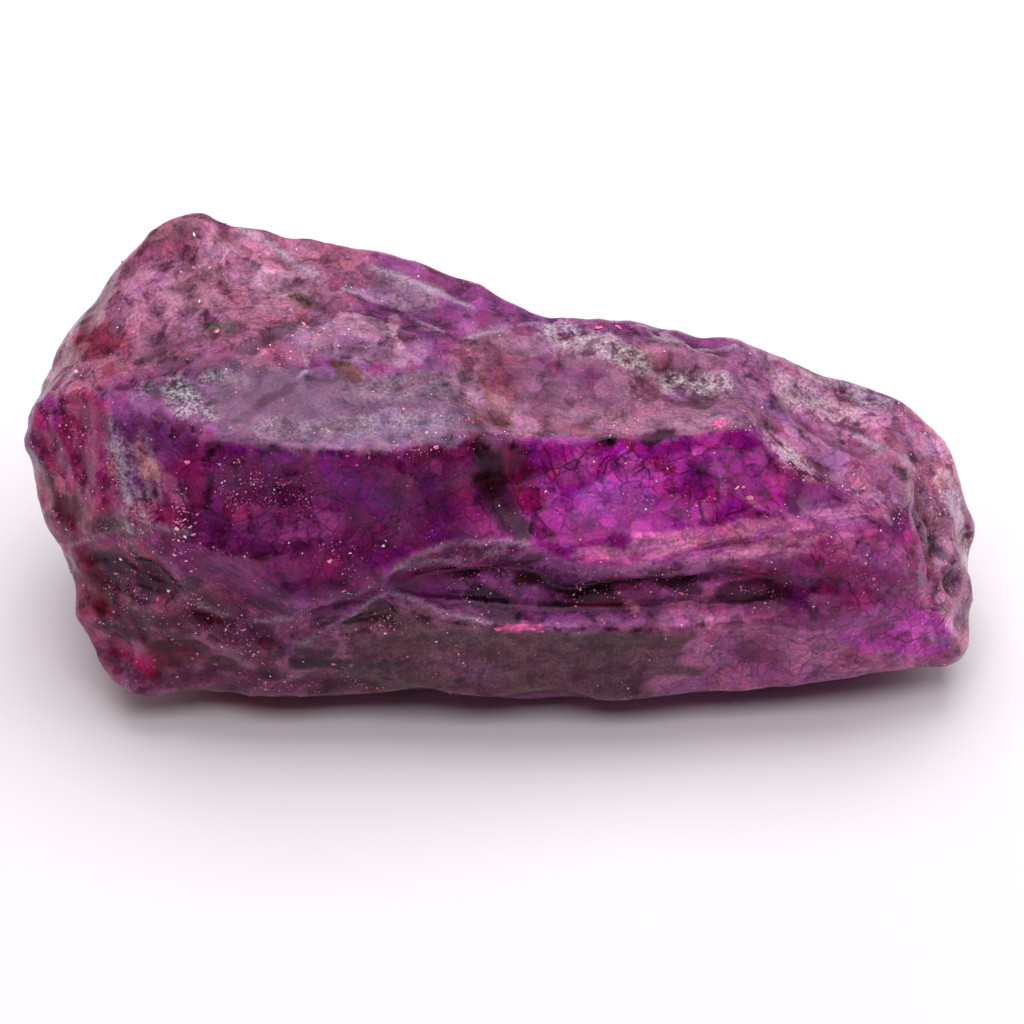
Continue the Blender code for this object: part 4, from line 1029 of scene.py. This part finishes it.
def violet_corundum():
    """Violet corundum, freshly broken: satin gloss, crazed and clouded inside, pale with frost and
    painted sheen, with painted shade in hollows and painted highlights on edges and rims.
    """
    material = bpy.data.materials.new("violet_corundum")
    material.use_nodes = True
    tree = material.node_tree
    shader = tree.nodes["Principled BSDF"]
    shader.inputs["IOR"].default_value = CORUNDUM_IOR
    shader.inputs["Specular IOR Level"].default_value = 0.20
    shader.inputs["Specular Tint"].default_value = linear(SHEEN)
    place = add(tree, "ShaderNodeTexCoord").outputs["Object"]
    mm = add(tree, "ShaderNodeVectorMath", {0: place, "Scale": 1.0 / MM},
             operation="SCALE").outputs["Vector"]
    stored = {
        name: add(tree, "ShaderNodeAttribute", attribute_name=name).outputs
        for name in ("body_colour", "frost_and_sheen", "rim", "craze", "striae", "bands", "edge", "hollow",
                     "dust", "calm")}
    level = {name: outputs["Fac"] for name, outputs in stored.items()}

    # Wavering places, so that no border runs quite straight.
    sway = add(tree, "ShaderNodeTexNoise", {
        "Vector": mm, "Scale": SWAY_SCALE, "Detail": 1.0}).outputs["Color"]
    sway = add(tree, "ShaderNodeVectorMath", {0: sway, 1: (0.5, 0.5, 0.5)}, operation="SUBTRACT")
    sway = add(tree, "ShaderNodeVectorMath", {0: sway.outputs["Vector"], "Scale": SWAY},
               operation="SCALE")
    bent = add(tree, "ShaderNodeVectorMath", {0: mm, 1: sway.outputs["Vector"]},
               operation="ADD").outputs["Vector"]

    # Clouds and grains: each grain has its own lightness and its own share of violet or crimson.
    cloud = add(tree, "ShaderNodeTexNoise", {"Vector": bent, "Scale": 1 / CLOUD, "Detail": 2.0})
    grain = add(tree, "ShaderNodeTexVoronoi", {"Vector": bent, "Scale": 1 / GRAIN})
    small = add(tree, "ShaderNodeTexVoronoi", {"Vector": bent, "Scale": 1 / SMALL_GRAIN})
    draws = {
        name: add(tree, "ShaderNodeSeparateColor", {"Color": cells.outputs["Color"]}).outputs
        for name, cells in (("grain", grain), ("small", small))}
    broken = add(tree, "ShaderNodeMath", {0: level["calm"], 1: -0.75, 2: 1.0},
                 operation="MULTIPLY_ADD").outputs["Value"]
    colour = stored["body_colour"]["Color"]
    for name, channel, low, most, code in GRAIN_TINTS:
        share = add(tree, "ShaderNodeMapRange", {
            "Value": draws[name][channel], "From Min": low, "From Max": 1.0, "To Max": most})
        share = add(tree, "ShaderNodeMath", {0: share.outputs["Result"], 1: broken},
                    operation="MULTIPLY")
        colour = add(tree, "ShaderNodeMix", {0: share.outputs["Value"], 6: colour, 7: linear(code)},
                     data_type="RGBA", blend_type="MULTIPLY").outputs[2]
    light_cloud = add(tree, "ShaderNodeMapRange", {
        "Value": cloud.outputs["Fac"], **CLOUD_SPREAD, "To Min": 0.75, "To Max": 1.3})
    light_grain = add(tree, "ShaderNodeMapRange", {
        "Value": draws["small"]["Green"], "To Min": -0.22, "To Max": 0.28})
    light_grain = add(tree, "ShaderNodeMath", {
        0: light_grain.outputs["Result"], 1: broken, 2: 1.0}, operation="MULTIPLY_ADD")
    light = add(tree, "ShaderNodeMath", {
        0: light_cloud.outputs["Result"], 1: light_grain.outputs["Value"]}, operation="MULTIPLY")

    # Growth steps show as fine streaks of light and dark.
    streaks = add(tree, "ShaderNodeTexNoise", {
        "Vector": drawn_out(tree, mm, mm, STRIA_RUN, 0.04), "Scale": 1 / STRIA, "Detail": 1.0})
    streaked = add(tree, "ShaderNodeMath", {0: streaks.outputs["Fac"], 1: 0.5}, operation="SUBTRACT")
    streaked = add(tree, "ShaderNodeMath", {0: streaked.outputs["Value"], 1: level["striae"]},
                   operation="MULTIPLY")
    streaked = add(tree, "ShaderNodeMath", {0: streaked.outputs["Value"], 1: 2.6, 2: 1.0},
                   operation="MULTIPLY_ADD")
    light = add(tree, "ShaderNodeMath", {0: light.outputs["Value"], 1: streaked.outputs["Value"]},
                operation="MULTIPLY")
    colour = add(tree, "ShaderNodeVectorMath", {0: colour, "Scale": light.outputs["Value"]},
                 operation="SCALE").outputs["Vector"]

    # Streaks along a bevel, from salmon to mauve.
    band = add(tree, "ShaderNodeTexNoise", {
        "Vector": drawn_out(tree, mm, bent, BAND_RUN, 0.10), "Scale": 1 / BAND, "Detail": 3.0,
        "Roughness": 0.6})
    band_ramp = add(tree, "ShaderNodeValToRGB", {"Fac": band.outputs["Fac"]})
    set_stops(band_ramp, BAND_STOPS)
    banded = add(tree, "ShaderNodeMath", {0: level["bands"], 1: 0.7}, operation="MULTIPLY")
    colour = add(tree, "ShaderNodeMix", {
        0: banded.outputs["Value"], 6: colour, 7: band_ramp.outputs["Color"]},
        data_type="RGBA").outputs[2]

    # Cracks between the grains, black to violet, or rusty where iron came in.
    mottle = add(tree, "ShaderNodeTexNoise", {
        "Vector": bent, "Scale": 1 / MOTTLE, "Detail": 3.0, "Roughness": 0.7})
    cracks = add(tree, "ShaderNodeMath", {
        0: crack(tree, cloud, bent, GRAIN, 0.13, 0.40),
        1: crack(tree, mottle, bent, SMALL_GRAIN, 0.08, 0.42)}, operation="MAXIMUM")
    craze = add(tree, "ShaderNodeMapRange", {"Value": level["craze"], "To Min": 0.34, "To Max": 0.92})
    craze = add(tree, "ShaderNodeMath", {0: craze.outputs["Result"], 1: broken}, operation="MULTIPLY")
    cracks = add(tree, "ShaderNodeMath", {
        0: cracks.outputs["Value"], 1: craze.outputs["Value"]}, operation="MULTIPLY").outputs["Value"]
    iron = add(tree, "ShaderNodeMapRange", {
        "Value": cloud.outputs["Fac"], "From Min": 0.46, "From Max": 0.54})
    crack_colour = add(tree, "ShaderNodeMix", {
        0: iron.outputs["Result"], 6: linear(VIOLET_CRACK), 7: linear(RUSTY_CRACK)}, data_type="RGBA")
    colour = add(tree, "ShaderNodeMix", {0: cracks, 6: colour, 7: crack_colour.outputs[2]},
                 data_type="RGBA").outputs[2]

    # Brown mottling, coarse and fine.
    mottled = add(tree, "ShaderNodeMapRange", {
        "Value": mottle.outputs["Fac"], "From Min": 0.47, "From Max": 0.35, "To Max": 0.7})
    mottled = add(tree, "ShaderNodeMath", {0: mottled.outputs["Result"], 1: broken},
                  operation="MULTIPLY")
    colour = add(tree, "ShaderNodeMix", {
        0: mottled.outputs["Value"], 6: colour, 7: linear(BROWN_MOTTLE)},
        data_type="RGBA", blend_type="MULTIPLY").outputs[2]
    fine = add(tree, "ShaderNodeTexNoise", {
        "Vector": mm, "Scale": 1 / FINE_MOTTLE, "Detail": 2.0, "Roughness": 0.75})
    for layer, share, low, high in ((mottle, 0.45, 0.70, 1.36), (fine, 0.35, 0.62, 1.46)):
        tint = add(tree, "ShaderNodeMix", {0: share, 6: layer.outputs["Fac"], 7: layer.outputs["Color"]},
                   data_type="RGBA").outputs[2]
        tint = add(tree, "ShaderNodeMapRange", {
            6: tint, 7: (0.33,) * 3, 8: (0.67,) * 3, 9: (low,) * 3, 10: (high,) * 3},
            data_type="FLOAT_VECTOR").outputs["Vector"]
        colour = add(tree, "ShaderNodeVectorMath", {0: colour, 1: tint},
                     operation="MULTIPLY").outputs["Vector"]

    # Painted shade in hollows, painted highlights on edges and rims, and frost with painted sheen.
    # Hollows painted darker: painted shade, with the dark mineral dust.
    hollow_shade_share = add(tree, "ShaderNodeMath", {0: level["hollow"], 1: 0.55}, operation="MULTIPLY")
    colour = add(tree, "ShaderNodeMix", {
        0: hollow_shade_share.outputs["Value"], 6: colour, 7: linear(SHADE_AND_DUST)},
        data_type="RGBA", blend_type="MULTIPLY").outputs[2]
    # Edges painted pale: partly bruising, partly a painted highlight.
    patchy = add(tree, "ShaderNodeMapRange", {
        "Value": mottle.outputs["Fac"], "From Min": 0.40, "From Max": 0.60})
    edge_wear_and_highlight = add(tree, "ShaderNodeMath", {0: level["edge"], 1: patchy.outputs["Result"]},
               operation="MULTIPLY")
    edge_wear_and_highlight = add(tree, "ShaderNodeMath", {0: edge_wear_and_highlight.outputs["Value"], 1: 0.25}, operation="MULTIPLY")
    colour = add(tree, "ShaderNodeMix", {
        0: edge_wear_and_highlight.outputs["Value"], 6: colour, 7: linear(WORN_EDGE_HIGHLIGHT)}, data_type="RGBA").outputs[2]
    specks = add(tree, "ShaderNodeTexVoronoi", {"Vector": mm, "Scale": 1 / SPECK})
    speck_draw = add(tree, "ShaderNodeSeparateColor", {"Color": specks.outputs["Color"]})
    # Frost and painted sheen: a white crust, and the lamps' pale veil painted in as colour.
    frost_and_sheen_share = add(tree, "ShaderNodeMapRange", {
        "Value": fine.outputs["Fac"], "From Min": 0.40, "From Max": 0.58,
        "To Min": 0.10, "To Max": 1.0})
    frost_and_sheen_share = add(tree, "ShaderNodeMath", {0: frost_and_sheen_share.outputs["Result"], 1: level["frost_and_sheen"]},
                  operation="MULTIPLY")
    frost_and_sheen_share = add(tree, "ShaderNodeMath", {0: frost_and_sheen_share.outputs["Value"], 1: patchy.outputs["Result"]},
                  operation="MULTIPLY")
    colour = add(tree, "ShaderNodeMix", {
        0: frost_and_sheen_share.outputs["Value"], 6: colour, 7: linear(FROST_AND_SHEEN_WHITE)}, data_type="RGBA").outputs[2]
    # Rims painted pale grey: partly frost, partly a painted highlight along the crest of each rim.
    rim_highlight = add(tree, "ShaderNodeMapRange", {
        "Value": fine.outputs["Fac"], "From Min": 0.36, "From Max": 0.54, "To Min": 0.15,
        "To Max": 0.85})
    rim_highlight = add(tree, "ShaderNodeMath", {0: level["rim"], 1: rim_highlight.outputs["Result"]},
                operation="MULTIPLY")
    colour = add(tree, "ShaderNodeMix", {
        0: rim_highlight.outputs["Value"], 6: colour, 7: linear(RIM_HIGHLIGHT_GREY)}, data_type="RGBA").outputs[2]

    # Specks of dust.
    dot = add(tree, "ShaderNodeMapRange", {
        "Value": specks.outputs["Distance"], "From Min": 0.14, "From Max": 0.22,
        "To Min": 1.0, "To Max": 0.0})
    scarce = add(tree, "ShaderNodeMath", {0: speck_draw.outputs["Red"], 1: 1.8}, operation="MULTIPLY")
    chosen = add(tree, "ShaderNodeMath", {
        0: level["dust"], 1: scarce.outputs["Value"]}, operation="GREATER_THAN")
    dot = add(tree, "ShaderNodeMath", {0: dot.outputs["Result"], 1: chosen.outputs["Value"]},
              operation="MULTIPLY")
    speck_ramp = add(tree, "ShaderNodeValToRGB", {"Fac": speck_draw.outputs["Green"]})
    speck_ramp.color_ramp.interpolation = "CONSTANT"
    set_stops(speck_ramp, SPECK_STOPS)
    colour = add(tree, "ShaderNodeMix", {
        0: dot.outputs["Value"], 6: colour, 7: speck_ramp.outputs["Color"]},
        data_type="RGBA").outputs[2]
    tree.links.new(colour, shader.inputs["Base Color"])

    # Gloss: satin, duller where frosted.
    gloss = add(tree, "ShaderNodeMapRange", {
        "Value": cloud.outputs["Fac"], **CLOUD_SPREAD, "To Min": 0.16, "To Max": 0.36})
    dull = add(tree, "ShaderNodeMath", {0: level["frost_and_sheen"], 1: 0.22, 2: gloss.outputs["Result"]},
               operation="MULTIPLY_ADD")
    tree.links.new(dull.outputs["Value"], shader.inputs["Roughness"])

    # Relief too fine for the mesh, in millimetres of height, on small faces that lean at random.
    steps = add(tree, "ShaderNodeMath", {0: streaks.outputs["Fac"], 1: level["striae"]},
                operation="MULTIPLY")
    height = add(tree, "ShaderNodeMath", {0: steps.outputs["Value"], 1: 0.03}, operation="MULTIPLY")
    height = add(tree, "ShaderNodeMath", {
        0: fine.outputs["Fac"], 1: 0.018, 2: height.outputs["Value"]}, operation="MULTIPLY_ADD")
    facing = add(tree, "ShaderNodeNewGeometry").outputs["Normal"]
    frost_lean = add(tree, "ShaderNodeMath", {0: level["frost_and_sheen"], 1: 0.6}, operation="MULTIPLY")
    for cells, lean in ((small, FACET_LEAN), (specks, frost_lean.outputs["Value"])):
        push = add(tree, "ShaderNodeVectorMath", {0: cells.outputs["Color"], 1: (0.5, 0.5, 0.5)},
                   operation="SUBTRACT")
        push = add(tree, "ShaderNodeVectorMath", {0: push.outputs["Vector"], "Scale": lean},
                   operation="SCALE")
        facing = add(tree, "ShaderNodeVectorMath", {0: facing, 1: push.outputs["Vector"]},
                     operation="ADD").outputs["Vector"]
    facing = add(tree, "ShaderNodeVectorMath", {0: facing}, operation="NORMALIZE").outputs["Vector"]
    bump = add(tree, "ShaderNodeBump", {
        "Height": height.outputs["Value"], "Distance": MM, "Normal": facing})
    tree.links.new(bump.outputs["Normal"], shader.inputs["Normal"])
    return material


stone.data.materials.clear()
stone.data.materials.append(violet_corundum())
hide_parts("sapphire")
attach(stone, "root")
print("the stone's material has", len(stone.data.materials[0].node_tree.nodes), "nodes")

# %% [markdown]
# ## Crumbs and dust
#
# A rough stone sheds crumbs, and they cling to it: pale splinters no wider than a hair, pink and
# magenta grains of a quarter of a millimetre, and a few rusty ones.  There are thousands, so
# Geometry Nodes scatter them: points are strewn over the skin, thicker where the skin is dusty,
# and a small crystal of eight faces is set on each, turned and squeezed at random.

# %% A tree that strews grains over a skin
CLEAR_FROM = (0.30, 0.45)  # mm from the box's sides: none below the first, all above the second
PER_SQUARE_METRE = 1e6     # what one grain per square millimetre comes to
FULL_TURN = 6.283          # radians
SMALLER_THAN_MEAN = 3.0    # a power that makes most grains small
THINNEST, THICKEST = (0.45, 0.45, 0.3), (1.0, 0.8, 0.6)  # how far a grain is squeezed each way
GRAIN_INPUTS = (
    ("Grains per square millimetre", "NodeSocketFloat"), ("Smallest", "NodeSocketFloat"),
    ("Largest", "NodeSocketFloat"), ("Sink", "NodeSocketFloat"), ("Seed", "NodeSocketInt"),
    ("Finish", "NodeSocketMaterial"))


def strewing_tree():
    """Points strewn over a skin by its dust, with a small crystal turned and squeezed on each."""
    tree = bpy.data.node_groups.new("strewn_grains", "GeometryNodeTree")
    tree.interface.new_socket("Geometry", in_out="INPUT", socket_type="NodeSocketGeometry")
    for name, kind in GRAIN_INPUTS:
        tree.interface.new_socket(name, in_out="INPUT", socket_type=kind)
    tree.interface.new_socket("Geometry", in_out="OUTPUT", socket_type="NodeSocketGeometry")
    given = add(tree, "NodeGroupInput").outputs
    dusty = add(tree, "GeometryNodeInputNamedAttribute", {"Name": "dust"}, data_type="FLOAT")
    clear = add(tree, "GeometryNodeInputNamedAttribute", {"Name": "clear"}, data_type="FLOAT")
    thick = add(tree, "ShaderNodeMath", {
        0: dusty.outputs["Attribute"], 1: given["Grains per square millimetre"]}, operation="MULTIPLY")
    thick = add(tree, "ShaderNodeMath", {0: thick.outputs["Value"], 1: PER_SQUARE_METRE},
                operation="MULTIPLY")
    thick = add(tree, "ShaderNodeMath", {
        0: thick.outputs["Value"], 1: clear.outputs["Attribute"]}, operation="MULTIPLY")
    points = add(tree, "GeometryNodeDistributePointsOnFaces", {
        "Mesh": given["Geometry"], "Density": thick.outputs["Value"], "Seed": given["Seed"]})
    lower = add(tree, "ShaderNodeVectorMath", {
        0: points.outputs["Normal"], "Scale": given["Sink"]}, operation="SCALE")
    sunk = add(tree, "GeometryNodeSetPosition", {
        "Geometry": points.outputs["Points"], "Offset": lower.outputs["Vector"]})
    crystal = add(tree, "GeometryNodeMeshUVSphere", {"Segments": 4, "Rings": 2, "Radius": 1.0})
    draw = add(tree, "FunctionNodeRandomValue", {2: 0.0, 3: 1.0, "Seed": given["Seed"]},
               data_type="FLOAT")
    draw = add(tree, "ShaderNodeMath", {0: draw.outputs[1], 1: SMALLER_THAN_MEAN}, operation="POWER")
    size = add(tree, "ShaderNodeMapRange", {
        "Value": draw.outputs["Value"], "To Min": given["Smallest"], "To Max": given["Largest"]})
    small = add(tree, "ShaderNodeMath", {0: size.outputs["Result"], 1: MM / 2}, operation="MULTIPLY")
    shape = add(tree, "FunctionNodeRandomValue", {
        0: THINNEST, 1: THICKEST, "Seed": 4}, data_type="FLOAT_VECTOR")
    scale = add(tree, "ShaderNodeVectorMath", {
        0: shape.outputs[0], "Scale": small.outputs["Value"]}, operation="SCALE")
    turn = add(tree, "FunctionNodeRandomValue", {
        0: (0.0,) * 3, 1: (FULL_TURN,) * 3, "Seed": 5}, data_type="FLOAT_VECTOR")
    set_down = add(tree, "GeometryNodeInstanceOnPoints", {
        "Points": sunk.outputs["Geometry"], "Instance": crystal.outputs["Mesh"],
        "Rotation": turn.outputs[0], "Scale": scale.outputs["Vector"]})
    tone = add(tree, "FunctionNodeRandomValue", {2: 0.0, 3: 1.0, "Seed": 6}, data_type="FLOAT")
    toned = add(tree, "GeometryNodeStoreNamedAttribute", {
        "Geometry": set_down.outputs["Instances"], "Name": "tone", "Value": tone.outputs[1]},
        data_type="FLOAT", domain="INSTANCE")
    real = add(tree, "GeometryNodeRealizeInstances", {"Geometry": toned.outputs["Geometry"]})
    done = add(tree, "GeometryNodeSetMaterial", {
        "Geometry": real.outputs["Geometry"], "Material": given["Finish"]})
    add(tree, "NodeGroupOutput", {"Geometry": done.outputs["Geometry"]})
    return tree


strewing = strewing_tree()
# Crumbs keep off the few points where the skin touches the sides of the solid's box.
from_sides = np.minimum(points - LOW, HIGH - points).min(1)
store("clear", "FLOAT", eased(*CLEAR_FROM, from_sides))
print("strewing tree:", len(strewing.nodes), "nodes")

# %% Finishes of the grains
def grain_finish(name, stops, roughness):
    """Crumbs of corundum: each keeps one colour drawn from the stops, with a fresh glossy face."""
    material = bpy.data.materials.new(name)
    material.use_nodes = True
    tree = material.node_tree
    shader = tree.nodes["Principled BSDF"]
    tone = add(tree, "ShaderNodeAttribute", attribute_name="tone")
    ramp = add(tree, "ShaderNodeValToRGB", {"Fac": tone.outputs["Fac"]})
    set_stops(ramp, stops)
    tree.links.new(ramp.outputs["Color"], shader.inputs["Base Color"])
    shader.inputs["Roughness"].default_value = roughness
    shader.inputs["IOR"].default_value = CORUNDUM_IOR
    return material


SPLINTERS = ((0.0, "#FFFFFF"), (0.25, "#F8DCEE"), (0.60, "#F0A0D0"), (1.0, "#DC64B0"))
CRUMBS = ((0.0, "#F4BCD6"), (0.25, "#EC74B0"), (0.6, "#D43C90"), (1.0, "#A02878"))
RUSTY = ((0.0, "#C88A4C"), (0.5, "#B0583A"), (1.0, "#7A3A24"))

# %% Strew them
GRAINS = {
    # name: (grains per square mm, smallest and largest in mm, sink in mm, seed, finish)
    "pale_splinters": (30.0, 0.05, 0.14, -0.01, 21, grain_finish("pale_splinters", SPLINTERS, 0.3)),
    "pink_crumbs": (7.5, 0.12, 0.42, -0.03, 22, grain_finish("pink_crumbs", CRUMBS, 0.4)),
    "rusty_crumbs": (0.8, 0.12, 0.26, -0.02, 23, grain_finish("rusty_crumbs", RUSTY, 0.6)),
}


def strewn(name, thick, smallest, largest, sink, seed, finish):
    """A plain mesh of the grains that the tree strews over the stone's skin."""
    obj = bpy.data.objects.new(name, stone.data.copy())
    bpy.context.scene.collection.objects.link(obj)
    modifier = obj.modifiers.new("strewn", "NODES")
    modifier.node_group = strewing
    sockets = {item.name: item.identifier for item in strewing.interface.items_tree
               if item.in_out == "INPUT"}
    values = (thick, smallest, largest, sink * MM, seed, finish)
    for (label, _), value in zip(GRAIN_INPUTS, values):
        modifier[sockets[label]] = value
    settled(obj)
    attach(obj, "root")
    print(name, len(obj.data.polygons), "faces")
    return obj


for name, settings in GRAINS.items():
    strewn(name, *settings)

# %% [markdown]
# ## Chips
#
# A few larger chips of half a millimetre still cling where the stone was struck.  Each is the hull
# of a handful of random points, flattened and laid on the skin, so that no two are alike.

# %% Chips that still cling
CHIPS = (
    # place, width in mm, colour
    ((5.9, 4.7, 19.2), 0.75, "#E04C9C"), ((7.2, 4.8, 19.4), 0.60, "#E85CA4"),
    ((7.8, 4.7, 19.5), 0.45, "#D84A96"), ((331, 562), 0.45, "#E8B0CC"),
    ((385, 546), 0.30, "#F4E6F4"), ((404, 408), 0.40, "#F088BC"),
    ((188, 461), 0.50, "#F078B4"), ((737, 488), 0.45, "#E890A8"),
    ((749, 500), 0.70, "#F09CB4"), ((744, 487), 0.35, "#E884B4"),
    ((862, 488), 0.50, "#F0849C"), ((873, 579), 0.40, "#D88858"),
    ((384, 634), 0.30, "#FFFFFF"), ((435, 641), 0.28, "#FFFFFF"),
    ((126, 558), 0.32, "#FFFFFF"), ((121, 570), 0.40, "#E468A4"),
    ((160, 600), 0.45, "#F05098"), ((170, 592), 0.30, "#FFFFFF"),
    ((218, 664), 0.40, "#D85C9C"), ((334, 665), 0.40, "#F06C8C"),
    ((681, 586), 0.50, "#E080A0"), ((740, 586), 0.35, "#E04CB0"),
    ((835, 424), 0.50, "#F088AC"), ((636, 618), 0.45, "#F47894"),
    ((76, 373), 0.50, "#F8C4DC"), ((196, 234), 0.45, "#FFFFFF"),
    ((200, 302), 0.35, "#FFF4FC"), ((218, 334), 0.50, "#F088B8"),
    ((-12.4, 1.9, 21.7), 0.50, "#F890B4"), ((437, 447), 0.45, "#F06CAC"),
    ((498, 628), 0.60, "#E8508C"), ((516, 629), 0.75, "#F0609C"),
    ((531, 630), 0.60, "#E8589C"), ((544, 632), 0.45, "#F078AC"),
    ((183, 520), 0.45, "#F0A0C0"), ((190, 527), 0.40, "#F8D0D8"),
    ((178, 529), 0.45, "#F4C0C8"), ((193, 533), 0.40, "#F088B8"),
    ((187, 537), 0.50, "#F8DCE0"), ((175, 522), 0.35, "#E860A0"),
    ((180, 541), 0.30, "#FFF4F4"), ((196, 524), 0.35, "#E05098"),
    ((184, 512), 0.40, "#F070B0"), ((176, 553), 0.28, "#F8E0E8"),
    ((185, 560), 0.25, "#F0C8D4"), ((190, 570), 0.28, "#E8B8C8"),
    ((172, 562), 0.22, "#F0D8DC"), ((199, 515), 0.35, "#E878B0"),
)
CHIP_SHAPE = (1.0, 0.65, 0.30)  # length, breadth and thickness, as shares of its width
CHIP_CORNERS = 9                # random points on an ellipsoid, of which the hull is taken
CHIP_TILT = 0.25                # how far a chip leans off the skin, as a slope
CHIP_RAISED = 0.25              # of half its thickness: its middle stands that far above the skin


def chip(bm, colours, place, width, code, draw):
    """Adds one chip: a flattened hull of random points, laid on the nearest spot of the skin."""
    nearest = int(((points - place) ** 2).sum(1).argmin())
    turn = Vector(normals[nearest] + draw.normal(0.0, CHIP_TILT, 3)).to_track_quat("Z", "Y")
    half = Vector(CHIP_SHAPE) * (width / 2)
    made = []
    for corner in unit(draw.normal(size=(CHIP_CORNERS, 3))):
        offset = turn @ Vector([c * h for c, h in zip(corner, half)])
        spot = Vector(points[nearest] + CHIP_RAISED * half.z * normals[nearest]) + offset
        made.append(bm.verts.new(Vector(np.clip(spot, LOW, HIGH)) * MM))
    hull = bmesh.ops.convex_hull(bm, input=made)
    spare = [part for part in hull["geom_interior"] if isinstance(part, bmesh.types.BMVert)]
    bmesh.ops.delete(bm, geom=spare, context="VERTS")
    for corner in made:
        if corner.is_valid:
            corner[colours] = linear(code)


def chip_finish():
    """Chips of corundum, glassy on their fresh faces; each keeps its own colour."""
    material = bpy.data.materials.new("fresh_chips")
    material.use_nodes = True
    tree = material.node_tree
    shader = tree.nodes["Principled BSDF"]
    shader.inputs["IOR"].default_value = CORUNDUM_IOR
    shader.inputs["Roughness"].default_value = 0.3
    given = add(tree, "ShaderNodeAttribute", attribute_name="chip_colour")
    tree.links.new(given.outputs["Color"], shader.inputs["Base Color"])
    return material


bm = bmesh.new()
colours = bm.verts.layers.float_color.new("chip_colour")
draw = np.random.default_rng(SEED)
for place, width, code in CHIPS:
    chip(bm, colours, on_stone(place), width, code, draw)
bmesh.ops.recalc_face_normals(bm, faces=bm.faces)
chip_mesh = bpy.data.meshes.new("clinging_chips")
bm.to_mesh(chip_mesh)
bm.free()
chip_mesh.materials.append(chip_finish())
chips = bpy.data.objects.new("clinging_chips", chip_mesh)
bpy.context.scene.collection.objects.link(chips)
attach(chips, "root")
print("chips:", len(CHIPS), "in", len(chip_mesh.polygons), "faces")
